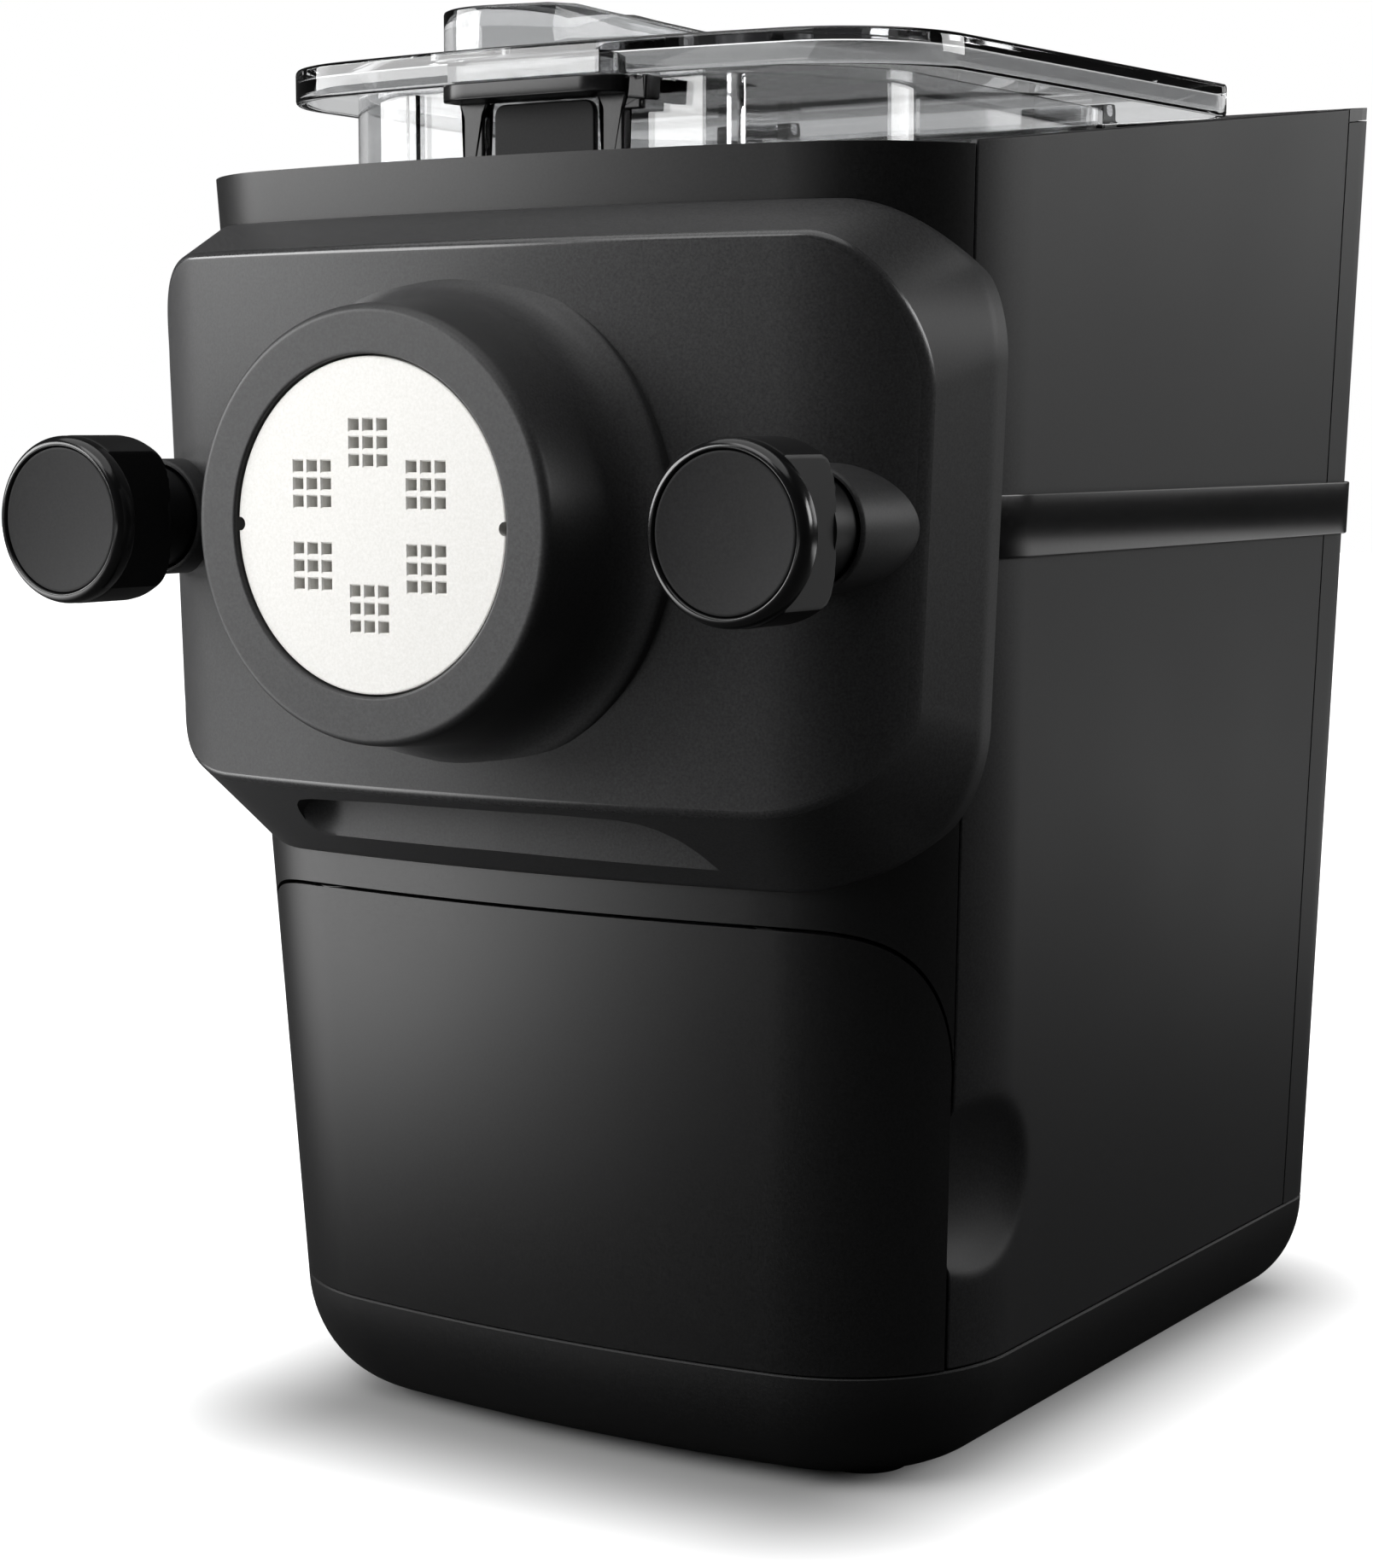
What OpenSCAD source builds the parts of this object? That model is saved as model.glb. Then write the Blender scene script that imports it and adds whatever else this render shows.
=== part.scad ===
// Countertop electric pasta maker: mixes dough in a clear chamber and
// presses it through a shaping disc at the front.
// Origin: middle of the footprint at table level. +Z up, the front faces -Y.

/* [Body] */
// Width of the body at the height of the extrusion axis
body_w = 238.8; // [200:0.1:290]
// Depth from the front of the collar to the back of the rear cover
overall_d = 350; // [300:1:420]
// Outward lean of each side, mm per mm of height
side_lean = 0.041; // [0:0.0005:0.08]
// Forward lean of the front, mm per mm of height
front_lean = 0.0651; // [0:0.0001:0.1]
// Lean of the side seam, mm per mm of height
seam_lean = 0.0528; // [0:0.0001:0.1]
// Radius of the gentle bow across the front
bow_r = 511; // [300:1:800]
// Radius of the front corners seen from above
front_corner_r = 50; // [35:1:60]
// Radius of the rear corners seen from above
rear_corner_r = 22; // [12:1:30]
// Thickness of the moulded housing walls
wall = 2.6; // [2:0.1:3.2]
// Visible gap between neighbouring housing pieces
seam_gap = 0.4; // [0.2:0.1:1]
// Slope of the rim behind the front seam, mm per mm of depth
rim_slope = 0.112; // [0:0.0001:0.15]
// Distance from the front of the body back to the side seam
side_seam_depth = 34.3; // [28:0.1:42]
// Distance behind the front of the body at which the rim starts to rise
rim_kink_depth = 25.8; // [20:0.1:34]
// Distance from the side seam of the rear cover to the back
rear_seam_depth = 34; // [28:1:45]

/* [Heights] */
// Top of the base tray
base_h = 33; // [28:1:45]
// Height of the storage drawer front
drawer_h = 117; // [90:1:140]
// Space between the drawer and the bottom of the mixing chamber
floor_space = 16; // [14:1:30]
// Distance from the extrusion axis up to the rim at the front
rim_over_axis = 91.5; // [88:0.5:115]

/* [Base] */
// Radius of the rounding under the base
base_round = 32; // [20:1:34]
// Height of the rubber feet below the base
foot_h = 2; // [1.5:0.5:6]
// Radius of a rubber foot
foot_r = 12; // [8:0.5:15]
// Distance of the feet from the side of the base
foot_inset = 38; // [32:1:50]

/* [Front panel] */
// Distance from the front of the collar back to the panel face
collar_reach = 33; // [25:1:40]
// How far the panel face stands in front of the housing at the rim
panel_stand = 19.6; // [15:0.1:24]
// Radius of the bow across the panel
panel_bow_r = 400; // [300:5:700]
// Thickness of the panel wall
panel_wall = 3; // [2.5:0.1:4]
// How far the panel stands out past the sides of the body
panel_overhang = 3.3; // [2:0.1:5]
// Radius of the panel corners seen from above
panel_corner_r = 42; // [36:1:48]
// Distance of the panel's top edge below the rim
panel_top_drop = 13.5; // [10:0.5:20]
// Distance of the panel's bottom edge above the drawer
panel_bottom_gap = 9.7; // [8:0.1:20]
// Radius of the outline's bottom corners seen from the front
panel_low_r = 45; // [30:1:50]
// Radius of the outline's top corners seen from the front
panel_high_r = 40; // [30:1:50]
// Half width of the finger slot under the panel
grip_half_w = 62; // [45:1:70]

/* [Extrusion] */
// Radius of the shaping disc where it shows
disc_r = 40.7; // [33:0.1:49]
// Width of the collar around the disc
collar_w = 12.8; // [9:0.1:16]
// Side of each square hole in the disc
hole_side = 2.6; // [2:0.1:3]
// Spacing of the holes in a group
hole_pitch = 4.3; // [3.8:0.1:4.6]
// Radius of the circle on which the hole groups sit
hole_group_r = 20; // [17:0.5:24]
// Wall of the extrusion tube
tube_wall = 5; // [4:0.5:6]

/* [Mixing chamber] */
// Outside radius of the rounded bottom, and half width of the chamber
chamber_r = 85; // [71:0.5:95]
// Wall of the chamber
chamber_wall = 2.5; // [2:0.1:3.5]
// Radius of the chamber corners seen from above
chamber_corner_r = 40; // [25:1:45]
// Height of the chamber above the rim
chamber_rise = 21.5; // [20:0.5:32]
// Room behind the chamber for the drive
drive_space = 91; // [88:1:120]

/* [Lid] */
// How far the lid reaches past the chamber at the front corners
lid_front_over = 15.5; // [12:0.5:20]
// How far the lid reaches past the chamber at the back corners
lid_rear_over = 26; // [18:0.5:28]
// Thickness of the lid's edge
lid_t = 9; // [7:0.5:12]
// Height of the water inlet above the lid
inlet_h = 16; // [12:1:26]
// Radius of the round end of the water inlet
inlet_r = 21; // [15:1:24]

/* [Knobs] */
// Distance of each knob's axis from the side of the body
knob_inset = 18.7; // [15:0.1:26]
// Radius of a knob's head
knob_r = 22.5; // [18:0.5:25]
// Length of a knob's head
knob_head_l = 25; // [18:1:30]
// Radius of the threaded studs that the knobs screw on
stud_r = 4; // [3:0.5:5]

/* [Drawer] */
// Depth of the storage drawer from the front of the body
drawer_d = 178; // [140:1:210]
// Wall of the storage drawer
drawer_wall = 2.5; // [2:0.1:4]
// Radius of the finger dents beside the drawer
dent_r = 23; // [18:1:27]
// Depth of the finger dents
dent_d = 8; // [5:0.5:9]

/* [Hidden] */
$fn = 64;
step = 0.02;          // thickness of the thin slabs that hulls span
big = 600;            // larger than the whole machine
run_gap = 0.05;       // radial clearance of a shaft in its bore
fit_gap = 0.3;        // clearance between moulded pieces

y_back = overall_d / 2;
y_collar = -overall_d / 2;
y_panel = y_collar + collar_reach;
y_front_rim = y_panel + panel_stand;
drawer_top = base_h + drawer_h;
axis_h = drawer_top + floor_space + chamber_r;
rim_h = axis_h + rim_over_axis;
panel_low = drawer_top + panel_bottom_gap;
panel_high = rim_h - panel_top_drop;
band_t = 1.5;
y_rear = y_back - band_t;
y_rear_seam = y_back - rear_seam_depth;

// Half width and front of the body at a height
function half_w(z) = body_w / 2 + side_lean * (z - axis_h);
function front_y(z) = y_front_rim + front_lean * (rim_h - z);
function seam_y(z) = y_front_rim + side_seam_depth + seam_lean * (rim_h - z);
y_kink = y_front_rim + rim_kink_depth;
function rim_z(y) = rim_h + rim_slope * max(0, y - y_kink);
z_max = rim_z(y_back);

// Right half of a bowed plan: bow, front corner and rear corner as arcs
function bow_corner_y(w, y0, rb, rc) = y0 + rb - sqrt(pow(rb - rc, 2) - pow(w - rc, 2));
function bow_end(w, y0, rb, rc) = atan2(w - rc, y0 + rb - bow_corner_y(w, y0, rb, rc));
function right_half(w, wr, y0, y1, rb, rc, rr) =
    let (a = bow_end(w, y0, rb, rc), yc = bow_corner_y(w, y0, rb, rc))
    concat(
        [for (i = [0:6]) let (t = a * i / 6) [rb * sin(t), y0 + rb - rb * cos(t)]],
        [for (i = [1:9]) let (t = a + (90 - a) * i / 9) [w - rc + rc * sin(t), yc - rc * cos(t)]],
        [for (i = [0:6]) let (t = 90 * i / 6) [wr - rr + rr * cos(t), y1 - rr + rr * sin(t)]]);
function mirrored(p) = [for (i = [len(p) - 1:-1:1]) [-p[i][0], p[i][1]]];
function bowed_plan(w, wr, y0, y1, rb, rc, rr) =
    let (p = right_half(w, wr, y0, y1, rb, rc, rr)) concat(p, mirrored(p));

function body_plan(z, inset) = bowed_plan(
    half_w(z) - inset, half_w(z) - inset, front_y(z) + inset, y_rear - inset,
    bow_r - inset, max(4, front_corner_r - inset), max(3, rear_corner_r - inset));

// Prism from a side outline given as [y, z] points
module yz_prism(points, w = big) {
    rotate([90, 0, 90]) linear_extrude(w, center = true) polygon(points);
}
// Prism from a front outline given as [x, z] points
module xz_prism(points, d = big) {
    rotate([90, 0, 0]) linear_extrude(d, center = true) polygon(points);
}
// Cylinder along Y from y0 to y1
module y_rod(r, y0, y1, x = 0, z = axis_h, fn = 96) {
    translate([x, y1, z]) rotate([90, 0, 0]) cylinder(r = r, h = y1 - y0, $fn = fn);
}
// Cylinder along X from x0 to x1
module x_rod(r, x0, x1, y, z) {
    translate([x0, y, z]) rotate([0, 90, 0]) cylinder(r = r, h = x1 - x0);
}
module box(x0, x1, y0, y1, z0, z1) {
    translate([x0, y0, z0]) cube([x1 - x0, y1 - y0, z1 - z0]);
}
// Both sides of the machine
module both_sides() {
    children();
    mirror([1, 0, 0]) children();
}
module slab(points, z) {
    translate([0, 0, z]) linear_extrude(step) polygon(points);
}
// Leaning envelope of the body, shrunk by an inset
module body_form(inset) {
    hull() {
        slab(body_plan(base_h, inset), base_h - step);
        slab(body_plan(z_max + 5, inset), z_max + 5);
    }
}
module body_skin(t = wall) {
    difference() {
        body_form(0);
        translate([0, 0, -1]) body_form(t);
        translate([0, 0, 1]) body_form(t);
    }
}
// Everything under the rim, lowered by drop
module under_rim(drop = 0) {
    yz_prism([[-big, -1], [big, -1], [big, rim_h + rim_slope * (big - y_kink) - drop],
        [y_kink, rim_h - drop], [-big, rim_h - drop]]);
}
// Everything in front of the side seam, moved back by shift
module before_seam(shift = 0) {
    yz_prism([[-big, -1], [seam_y(-1) + shift, -1], [seam_y(big) + shift, big], [-big, big]]);
}

// ---- base -------------------------------------------------------------
base_floor = foot_h + 3;
foot_x = half_w(base_h) - foot_inset;
foot_y = [front_y(base_h) + 45, y_back - 42];
foot_stem_r = 4;
cell_h = 6;
cell_z = base_floor + 3;
post_x = half_w(base_h) - 20;
post_y = [seam_y(base_h) + 34, y_back - 28];
post_r = 5.5;
screw_r = 1.8;
boss_h = 9;
module base_form(inset) {
    hull() {
        for (a = [0:30:90])
            slab(body_plan(base_h, inset + base_round * (1 - sin(a))),
                foot_h + inset + (base_h - foot_h - inset - 2) * (1 - cos(a)));
        slab(body_plan(base_h, inset), base_h - step);
    }
}
module base_tray() {
    color("#101112") {
        difference() {
            base_form(0);
            difference() {
                translate([0, 0, step]) base_form(wall);
                box(-big, big, -big, big, 0, base_floor);
            }
            for (y = foot_y) both_sides() translate([foot_x, y, 0])
                cylinder(r = foot_stem_r + fit_gap, h = base_h);
            for (y = post_y) both_sides() translate([post_x, y, 0]) {
                cylinder(r = screw_r + fit_gap, h = base_h);
                cylinder(r = 2 * screw_r + fit_gap, h = base_floor + 2);
            }
        }
        // bosses that hold the fixed ends of the load cells
        for (y = foot_y) both_sides()
            translate([foot_x - 34, y - 6, base_floor]) cube([10, 12, cell_z - base_floor]);
        // bosses under the chassis posts
        for (y = post_y) both_sides() translate([post_x, y, base_floor]) difference() {
            cylinder(r = post_r, h = boss_h);
            translate([0, 0, -1]) cylinder(r = screw_r + fit_gap, h = boss_h + 2);
            translate([0, 0, -1]) cylinder(r = 2 * screw_r + fit_gap, h = 3);
        }
    }
}
module rubber_feet() {
    color("#0b0b0c") for (y = foot_y) both_sides() translate([foot_x, y, 0]) {
        cylinder(r = foot_r, h = foot_h);
        cylinder(r = foot_stem_r, h = cell_z);
    }
}
module load_cells() {
    color("#a9adb2") for (y = foot_y) both_sides()
        translate([foot_x - 34, y - 6, cell_z]) difference() {
            cube([40, 12, cell_h]);
            translate([14, -1, cell_h / 2]) rotate([-90, 0, 0]) cylinder(r = 1.8, h = 14);
            translate([22, -1, cell_h / 2]) rotate([-90, 0, 0]) cylinder(r = 1.8, h = 14);
        }
}
module housing_screws() {
    color("#7d8186") for (y = post_y) both_sides() translate([post_x, y, 0]) {
        translate([0, 0, base_floor]) cylinder(r = 2 * screw_r, h = 2);
        translate([0, 0, base_floor + 1]) cylinder(r = screw_r, h = 24);
    }
}

// ---- chassis ----------------------------------------------------------
floor_z = drawer_top + 2;
floor_t = 3;
y_chamber = y_panel + 47;
y_chamber_back = y_back - drive_space;
y_bulkhead = y_chamber_back + 3;
bulkhead_t = 4;
rail_x = chamber_r + 4;
knob_x = half_w(axis_h) - knob_inset;
knob_z = axis_h;
y_stud_plate = y_chamber + 12;
shaft_r = 8;
module chassis() {
    color("#4a4d50") difference() {
        union() {
            // floor above the drawer
            intersection() {
                body_form(wall + 1);
                box(-big, big, seam_y(floor_z) + 6, y_rear - wall - 2, floor_z, floor_z + floor_t);
            }
            // bulkhead that carries the drive
            box(-rail_x - 4, rail_x + 4, y_bulkhead, y_bulkhead + bulkhead_t,
                floor_z + floor_t, rim_h - 12);
            // side walls and the plates that hold the studs
            both_sides() {
                box(rail_x, rail_x + 4, y_stud_plate, y_bulkhead, floor_z + floor_t, rim_h - 20);
                box(rail_x, knob_x + stud_r + 0.5, y_stud_plate - 4, y_stud_plate, knob_z - 22, knob_z + 22);
            }
            // cradle under the mixing chamber
            for (y = [y_chamber + 35, y_chamber_back - 35])
                box(-rail_x, rail_x, y - 2, y + 2, floor_z + floor_t, floor_z + 34);
            // posts down to the base
            for (y = post_y) both_sides() translate([post_x, y, base_floor + boss_h])
                cylinder(r = post_r, h = floor_z - base_floor - boss_h);
        }
        y_rod(chamber_r + fit_gap, y_chamber - 1, y_chamber_back + 1);
        y_rod(shaft_r + 6, y_bulkhead - 1, y_bulkhead + bulkhead_t + 1);
        for (y = post_y) both_sides() translate([post_x, y, 0])
            cylinder(r = screw_r + run_gap, h = base_floor + 30);
        both_sides() y_rod(stud_r, y_stud_plate - 5, y_stud_plate + 1, knob_x, knob_z);
    }
}
module drawer_runners() {
    color("#5b5f63") both_sides()
        box(runner_x, runner_x + runner_w, seam_y(base_h) + 8, y_back - 20, runner_z, runner_z + 4);
}

// ---- storage drawer ---------------------------------------------------
runner_w = 4;
runner_x = post_x - post_r - runner_w;
tray_half_w = runner_x - 1;
runner_z = base_h + 27;
y_tray_back = front_y(base_h) + drawer_d;
corner_dy = 30;
corner_dz = 42;
// Side outline of the drawer front with its rounded upper corner
function drawer_side(grow) = concat(
    [[-big, base_h - 5], [seam_y(base_h - 5) + grow, base_h - 5],
     [seam_y(drawer_top - corner_dz) + grow, drawer_top - corner_dz + grow]],
    [for (a = [10:10:90]) [seam_y(drawer_top - corner_dz) - corner_dy * (1 - cos(a)) + grow,
        drawer_top - corner_dz + corner_dz * sin(a) + grow]],
    [[-big, drawer_top + grow]]);
module storage_drawer() {
    color("#2b2c2e") union() {
        difference() {
            intersection() {
                body_skin(3);
                yz_prism(drawer_side(-seam_gap));
            }
            box(-big, big, -big, big, 0, base_h + seam_gap);
        }
        // tray behind the front
        difference() {
            intersection() {
                body_form(1);
                box(-tray_half_w, tray_half_w, -big, y_tray_back, base_h + 5, drawer_top - 10);
            }
            intersection() {
                body_form(6);
                box(-tray_half_w + drawer_wall, tray_half_w - drawer_wall,
                    -big, y_tray_back - drawer_wall, base_h + 5 + drawer_wall, big);
            }
        }
        // ribs that slide on the runners
        both_sides() box(tray_half_w - 1, tray_half_w + runner_w, seam_y(base_h) + 8, y_tray_back,
            runner_z + 4 + fit_gap, runner_z + 8);
    }
}

// ---- housing ----------------------------------------------------------
dent_z = base_h + 48;
dent_ball = (dent_r * dent_r + dent_d * dent_d) / (2 * dent_d);
window_half_w = chamber_r - 8;
window_low = panel_low + 12;
window_high = panel_high - 11;
module front_housing() {
    color("#232426") difference() {
        intersection() {
            body_skin();
            under_rim();
            before_seam();
        }
        yz_prism(drawer_side(0.05));
        box(-window_half_w, window_half_w, -big, 0, window_low, window_high);
        both_sides() y_rod(stud_r + 7, y_collar, seam_y(axis_h), knob_x, knob_z);
    }
}
module side_panel() {
    ball_x = half_w(dent_z) + dent_ball - dent_d;
    ball_y = seam_y(dent_z) + 9;
    color("#2c2d2f") difference() {
        union() {
            intersection() {
                body_skin();
                under_rim();
                box(0, big, -big, y_rear_seam, base_h + seam_gap, big);
            }
            intersection() {
                body_form(0.2);
                translate([ball_x, ball_y, dent_z]) sphere(r = dent_ball + wall, $fn = 96);
                box(0, big, -big, y_rear_seam, base_h + seam_gap, big);
            }
        }
        before_seam(seam_gap);
        translate([ball_x, ball_y, dent_z]) sphere(r = dent_ball, $fn = 96);
    }
}
module side_panel_right() {
    side_panel();
}
module side_panel_left() {
    mirror([1, 0, 0]) side_panel();
}
rear_top_drop = 4;
vent_z = base_h + 60;
gland_x = half_w(base_h) - 38;
gland_z = base_h + 24;
gland_r = 9;
module rear_cover() {
    color("#2a2b2d") difference() {
        intersection() {
            body_skin();
            under_rim(rear_top_drop);
            box(-big, big, y_rear_seam + seam_gap, big, base_h + seam_gap, big);
        }
        // vent slots
        for (i = [-7:7], row = [0:1])
            box(i * 9 - 1.6, i * 9 + 1.6, y_rear - 10, y_rear + 1,
                vent_z + row * 42, vent_z + row * 42 + 34);
        y_rod(gland_r + run_gap, y_rear - 10, y_rear + 1, gland_x, gland_z);
    }
}
module cord_gland() {
    color("#0d0d0e") difference() {
        union() {
            y_rod(gland_r, y_rear - wall - 3, y_rear, gland_x, gland_z);
            y_rod(gland_r + 2.5, y_rear - wall - 3, y_rear - wall, gland_x, gland_z);
        }
        y_rod(3.6, y_rear - 10, y_rear + 1, gland_x, gland_z);
    }
}
band_low = axis_h - 8.7;
band_high = axis_h + 7.3;
y_skirt = y_panel + 64;
module trim_band() {
    color("#060607") difference() {
        intersection() {
            body_form(-band_t);
            box(-big, big, y_skirt + 0.5, big, band_low, band_high);
        }
        body_form(0);
    }
}

// ---- top deck and controls --------------------------------------------
deck_t = 2.5;
deck_drop = 1.5;
catch_half_w = 23.5;
deck_tilt = atan(rim_slope);
module on_deck() {
    translate([0, y_kink, rim_h - deck_drop]) rotate([deck_tilt, 0, 0]) children();
}
// Strip parallel to the rim between two depths below it
module under_deck(top, bottom) {
    yz_prism([[-big, rim_h - top], [y_kink, rim_h - top],
        [big, rim_h - top + rim_slope * (big - y_kink)],
        [big, rim_h - bottom + rim_slope * (big - y_kink)],
        [y_kink, rim_h - bottom], [-big, rim_h - bottom]]);
}
button_x = [for (i = [-1.5, -0.5, 0.5, 1.5]) i * 40];
button_r = 8;
button_row = y_chamber_back + 64 - y_kink;
display_row = y_chamber_back + 34 - y_kink;
module deck_cuts(gap) {
    on_deck() {
        for (x = button_x) translate([x, button_row, -20]) cylinder(r = button_r + gap, h = 40);
        translate([-27 - gap, display_row - 11 - gap, -20]) cube([54 + 2 * gap, 22 + 2 * gap, 40]);
    }
}
module top_deck() {
    color("#1b1c1e") difference() {
        union() {
            intersection() {
                body_form(wall + 0.1);
                under_deck(deck_drop, deck_drop + deck_t);
            }
            // rim strip above the rear cover
            intersection() {
                body_skin(wall + 0.6);
                under_deck(0, rear_top_drop - seam_gap);
                box(-big, big, y_rear_seam + seam_gap, big, base_h, big);
            }
            // hinge ears
            both_sides() for (x = ear_x) difference() {
                union() {
                    x_rod(hinge_r, x, x + ear_t, hinge_y, hinge_z);
                    box(x, x + ear_t, hinge_y - hinge_r, hinge_y + hinge_r,
                        rim_z(hinge_y) - deck_drop - 1, hinge_z);
                }
                x_rod(pin_r, x - 1, x + ear_t + 1, hinge_y, hinge_z);
            }
        }
        box(-chamber_r - 2, chamber_r + 2, y_chamber - 7, y_chamber_back + 2, 0, big);
        deck_cuts(fit_gap);
    }
}
module control_panel() {
    panel_x = half_w(rim_h) - 30;
    color("#08090a") difference() {
        on_deck() translate([-panel_x, y_chamber_back + 18 - y_kink, 0])
            cube([2 * panel_x, 58, 1]);
        deck_cuts(fit_gap);
    }
}
module display_window() {
    color("#1d262b") on_deck() translate([-27, display_row - 11, -2]) cube([54, 22, 3.2]);
}
module button(i) {
    color("#c9ccd0") on_deck() translate([button_x[i], button_row, 0]) {
        translate([0, 0, -1.5]) cylinder(r = button_r, h = 3.3);
        translate([0, 0, -deck_t - fit_gap - 1.2]) cylinder(r = 3, h = deck_t + 1.5);
        translate([0, 0, -deck_t - fit_gap - 1.2]) cylinder(r = button_r + 1.4, h = 1.2);
    }
}
module button_power() {
    button(0);
}
module button_program() {
    button(1);
}
module button_weight() {
    button(2);
}
module button_start() {
    button(3);
}
board_drop = 12;
module control_board() {
    color("#1f5a3a") on_deck() {
        translate([-80, display_row - 14, -board_drop]) cube([160, 58, 1.6]);
        // display module, switches and standoffs
        translate([-26, display_row - 10, 1.6 - board_drop]) cube([52, 20, board_drop - 1.6 - 2]);
        for (x = button_x) translate([x - 3, button_row - 3, 1.6 - board_drop]) cube([6, 6, 5.2]);
        for (x = [-76, 76], y = [display_row - 10, display_row + 40])
            translate([x, y, 1.6 - board_drop]) cylinder(r = 3, h = board_drop - 1.6 - deck_t);
    }
}

// ---- mixing chamber ---------------------------------------------------
chamber_top = rim_h + chamber_rise;
chamber_mid = (y_chamber + y_chamber_back) / 2;
tube_r = disc_r - 4.7;
module round_rect(x, y, r) {
    square([2 * x, 2 * (y - r)], center = true);
    square([2 * (x - r), 2 * y], center = true);
    for (i = [-1, 1], j = [-1, 1]) translate([i * (x - r), j * (y - r)]) circle(r);
}
module chamber_form(inset) {
    half_l = (y_chamber_back - y_chamber) / 2 - inset;
    intersection() {
        translate([0, chamber_mid, axis_h - chamber_r - 1]) linear_extrude(big)
            round_rect(chamber_r - inset, half_l, chamber_corner_r - inset);
        union() {
            y_rod(chamber_r - inset, -big, big, fn = 128);
            box(-chamber_r, chamber_r, -big, big, axis_h, big);
        }
    }
}
rib_x = [-45, 55];
module mixing_chamber() {
    color("#8f9498", 0.4) difference() {
        union() {
            chamber_form(0);
            for (x = rib_x)
                box(x - 1.5, x + 1.5, y_chamber - 2, y_chamber + 2, window_high + 14, lid_z - 1);
            y_rod(tube_r + 8, y_chamber - 3, y_chamber + 2);
        }
        chamber_form(chamber_wall);
        box(-big, big, -big, big, chamber_top, 2 * big);
        y_rod(tube_r + fit_gap, y_chamber - 5, y_chamber + 5);
        y_rod(shaft_r + 4, y_chamber_back - 5, y_chamber_back + 5);
    }
}
module chamber_seal() {
    color("#3a3a3c") difference() {
        union() {
            y_rod(shaft_r + 4, y_chamber_back - chamber_wall, y_chamber_back);
            y_rod(shaft_r + 8, y_chamber_back, y_chamber_back + 2.8);
        }
        y_rod(shaft_r + run_gap, y_chamber_back - 5, y_chamber_back + 5);
    }
}
module mixing_paddle() {
    reach = chamber_r - chamber_wall - 5;
    y0 = y_chamber + 14;
    y1 = y_chamber_back - 10;
    // the arms stay clear of the chamber's round corners
    arm_y0 = y_chamber + 0.7 * chamber_corner_r;
    arm_y1 = y_chamber_back - 0.7 * chamber_corner_r;
    color("#e4e2dc") difference() {
        union() {
            y_rod(15, y0, y1);
            for (side = [0, 180], y = [arm_y0, arm_y1 - 8])
                translate([0, y, axis_h]) rotate([0, side, 0]) box(-4, 4, 0, 8, 0, reach);
            for (side = [0, 180])
                translate([0, arm_y0, axis_h]) rotate([0, side, 0])
                    box(-4, 4, 0, arm_y1 - arm_y0, reach - 9, reach);
        }
        y_rod(shaft_r, y0 - 1, y1 + 1);
    }
}
// The pressing screw: a core with one helical flight
screw_out = tube_r - tube_wall - 0.6;
module extrusion_screw() {
    core = 10;
    y0 = y_disc_back + 4;
    y1 = y_chamber + 13;
    color("#dcdad4") union() {
        y_rod(core, y0, y1);
        translate([0, y1, axis_h]) rotate([90, 0, 0])
            linear_extrude(y1 - y0 - 4, twist = 720, slices = 32, $fn = 8)
            translate([core - 2, -2.5]) square([screw_out - core + 2, 5]);
    }
}
module drive_shaft() {
    color("#b9bdc1") y_rod(shaft_r, y_chamber + 14, y_gears + 12);
}
y_disc_face = y_collar + 1;
disc_t = 11;
y_disc_back = y_disc_face + disc_t;
module extrusion_tube() {
    color("#9da1a5") difference() {
        union() {
            y_rod(disc_r + 3.8, y_disc_back + 0.2, y_disc_back + 5);
            y_rod(tube_r, y_disc_back + 0.2, y_chamber + chamber_wall);
        }
        y_rod(tube_r - tube_wall, y_collar, y_chamber + 10);
    }
}
module shaping_disc() {
    color("#f1efe9") difference() {
        union() {
            y_rod(disc_r, y_disc_face, y_disc_back - 1);
            y_rod(disc_r + 3.8, y_disc_face + 6, y_disc_back);
        }
        for (a = [30:60:330], i = [-1:1], j = [-1:1])
            translate([hole_group_r * cos(a) + i * hole_pitch, 0,
                axis_h + hole_group_r * sin(a) + j * hole_pitch])
                cube([hole_side, 60 * disc_t, hole_side], center = true);
        both_sides() y_rod(1.7, y_disc_face - 1, y_disc_face + 3, disc_r - 0.6, fn = 24);
        // hollow behind the face, where the dough gathers
        y_rod(tube_r - tube_wall, y_disc_face + 4, y_disc_back + 1);
    }
}

// ---- front panel ------------------------------------------------------
collar_r = disc_r + collar_w;
flange_r = collar_r + 10.5;
low_drop = 22;
low_back = panel_stand + 9;
high_drop = 7;
high_back = panel_stand - 1;
function panel_w(z) = half_w(z) + panel_overhang;
// Panel seen from above: a bow between two round corners
module panel_plan(inset) {
    w = panel_w(panel_high);
    xc = w - panel_corner_r;
    yc = bow_corner_y(w, y_panel, panel_bow_r, panel_corner_r);
    x_end = panel_bow_r * sin(bow_end(w, y_panel, panel_bow_r, panel_corner_r));
    intersection() {
        translate([0, y_panel + panel_bow_r]) circle(panel_bow_r - inset, $fn = 360);
        translate([-x_end, y_panel - 1]) square([2 * x_end, 60]);
    }
    for (x = [-xc, xc]) translate([x, yc]) circle(panel_corner_r - inset);
    translate([inset - w, yc]) square([2 * (w - inset), 60]);
}
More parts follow.
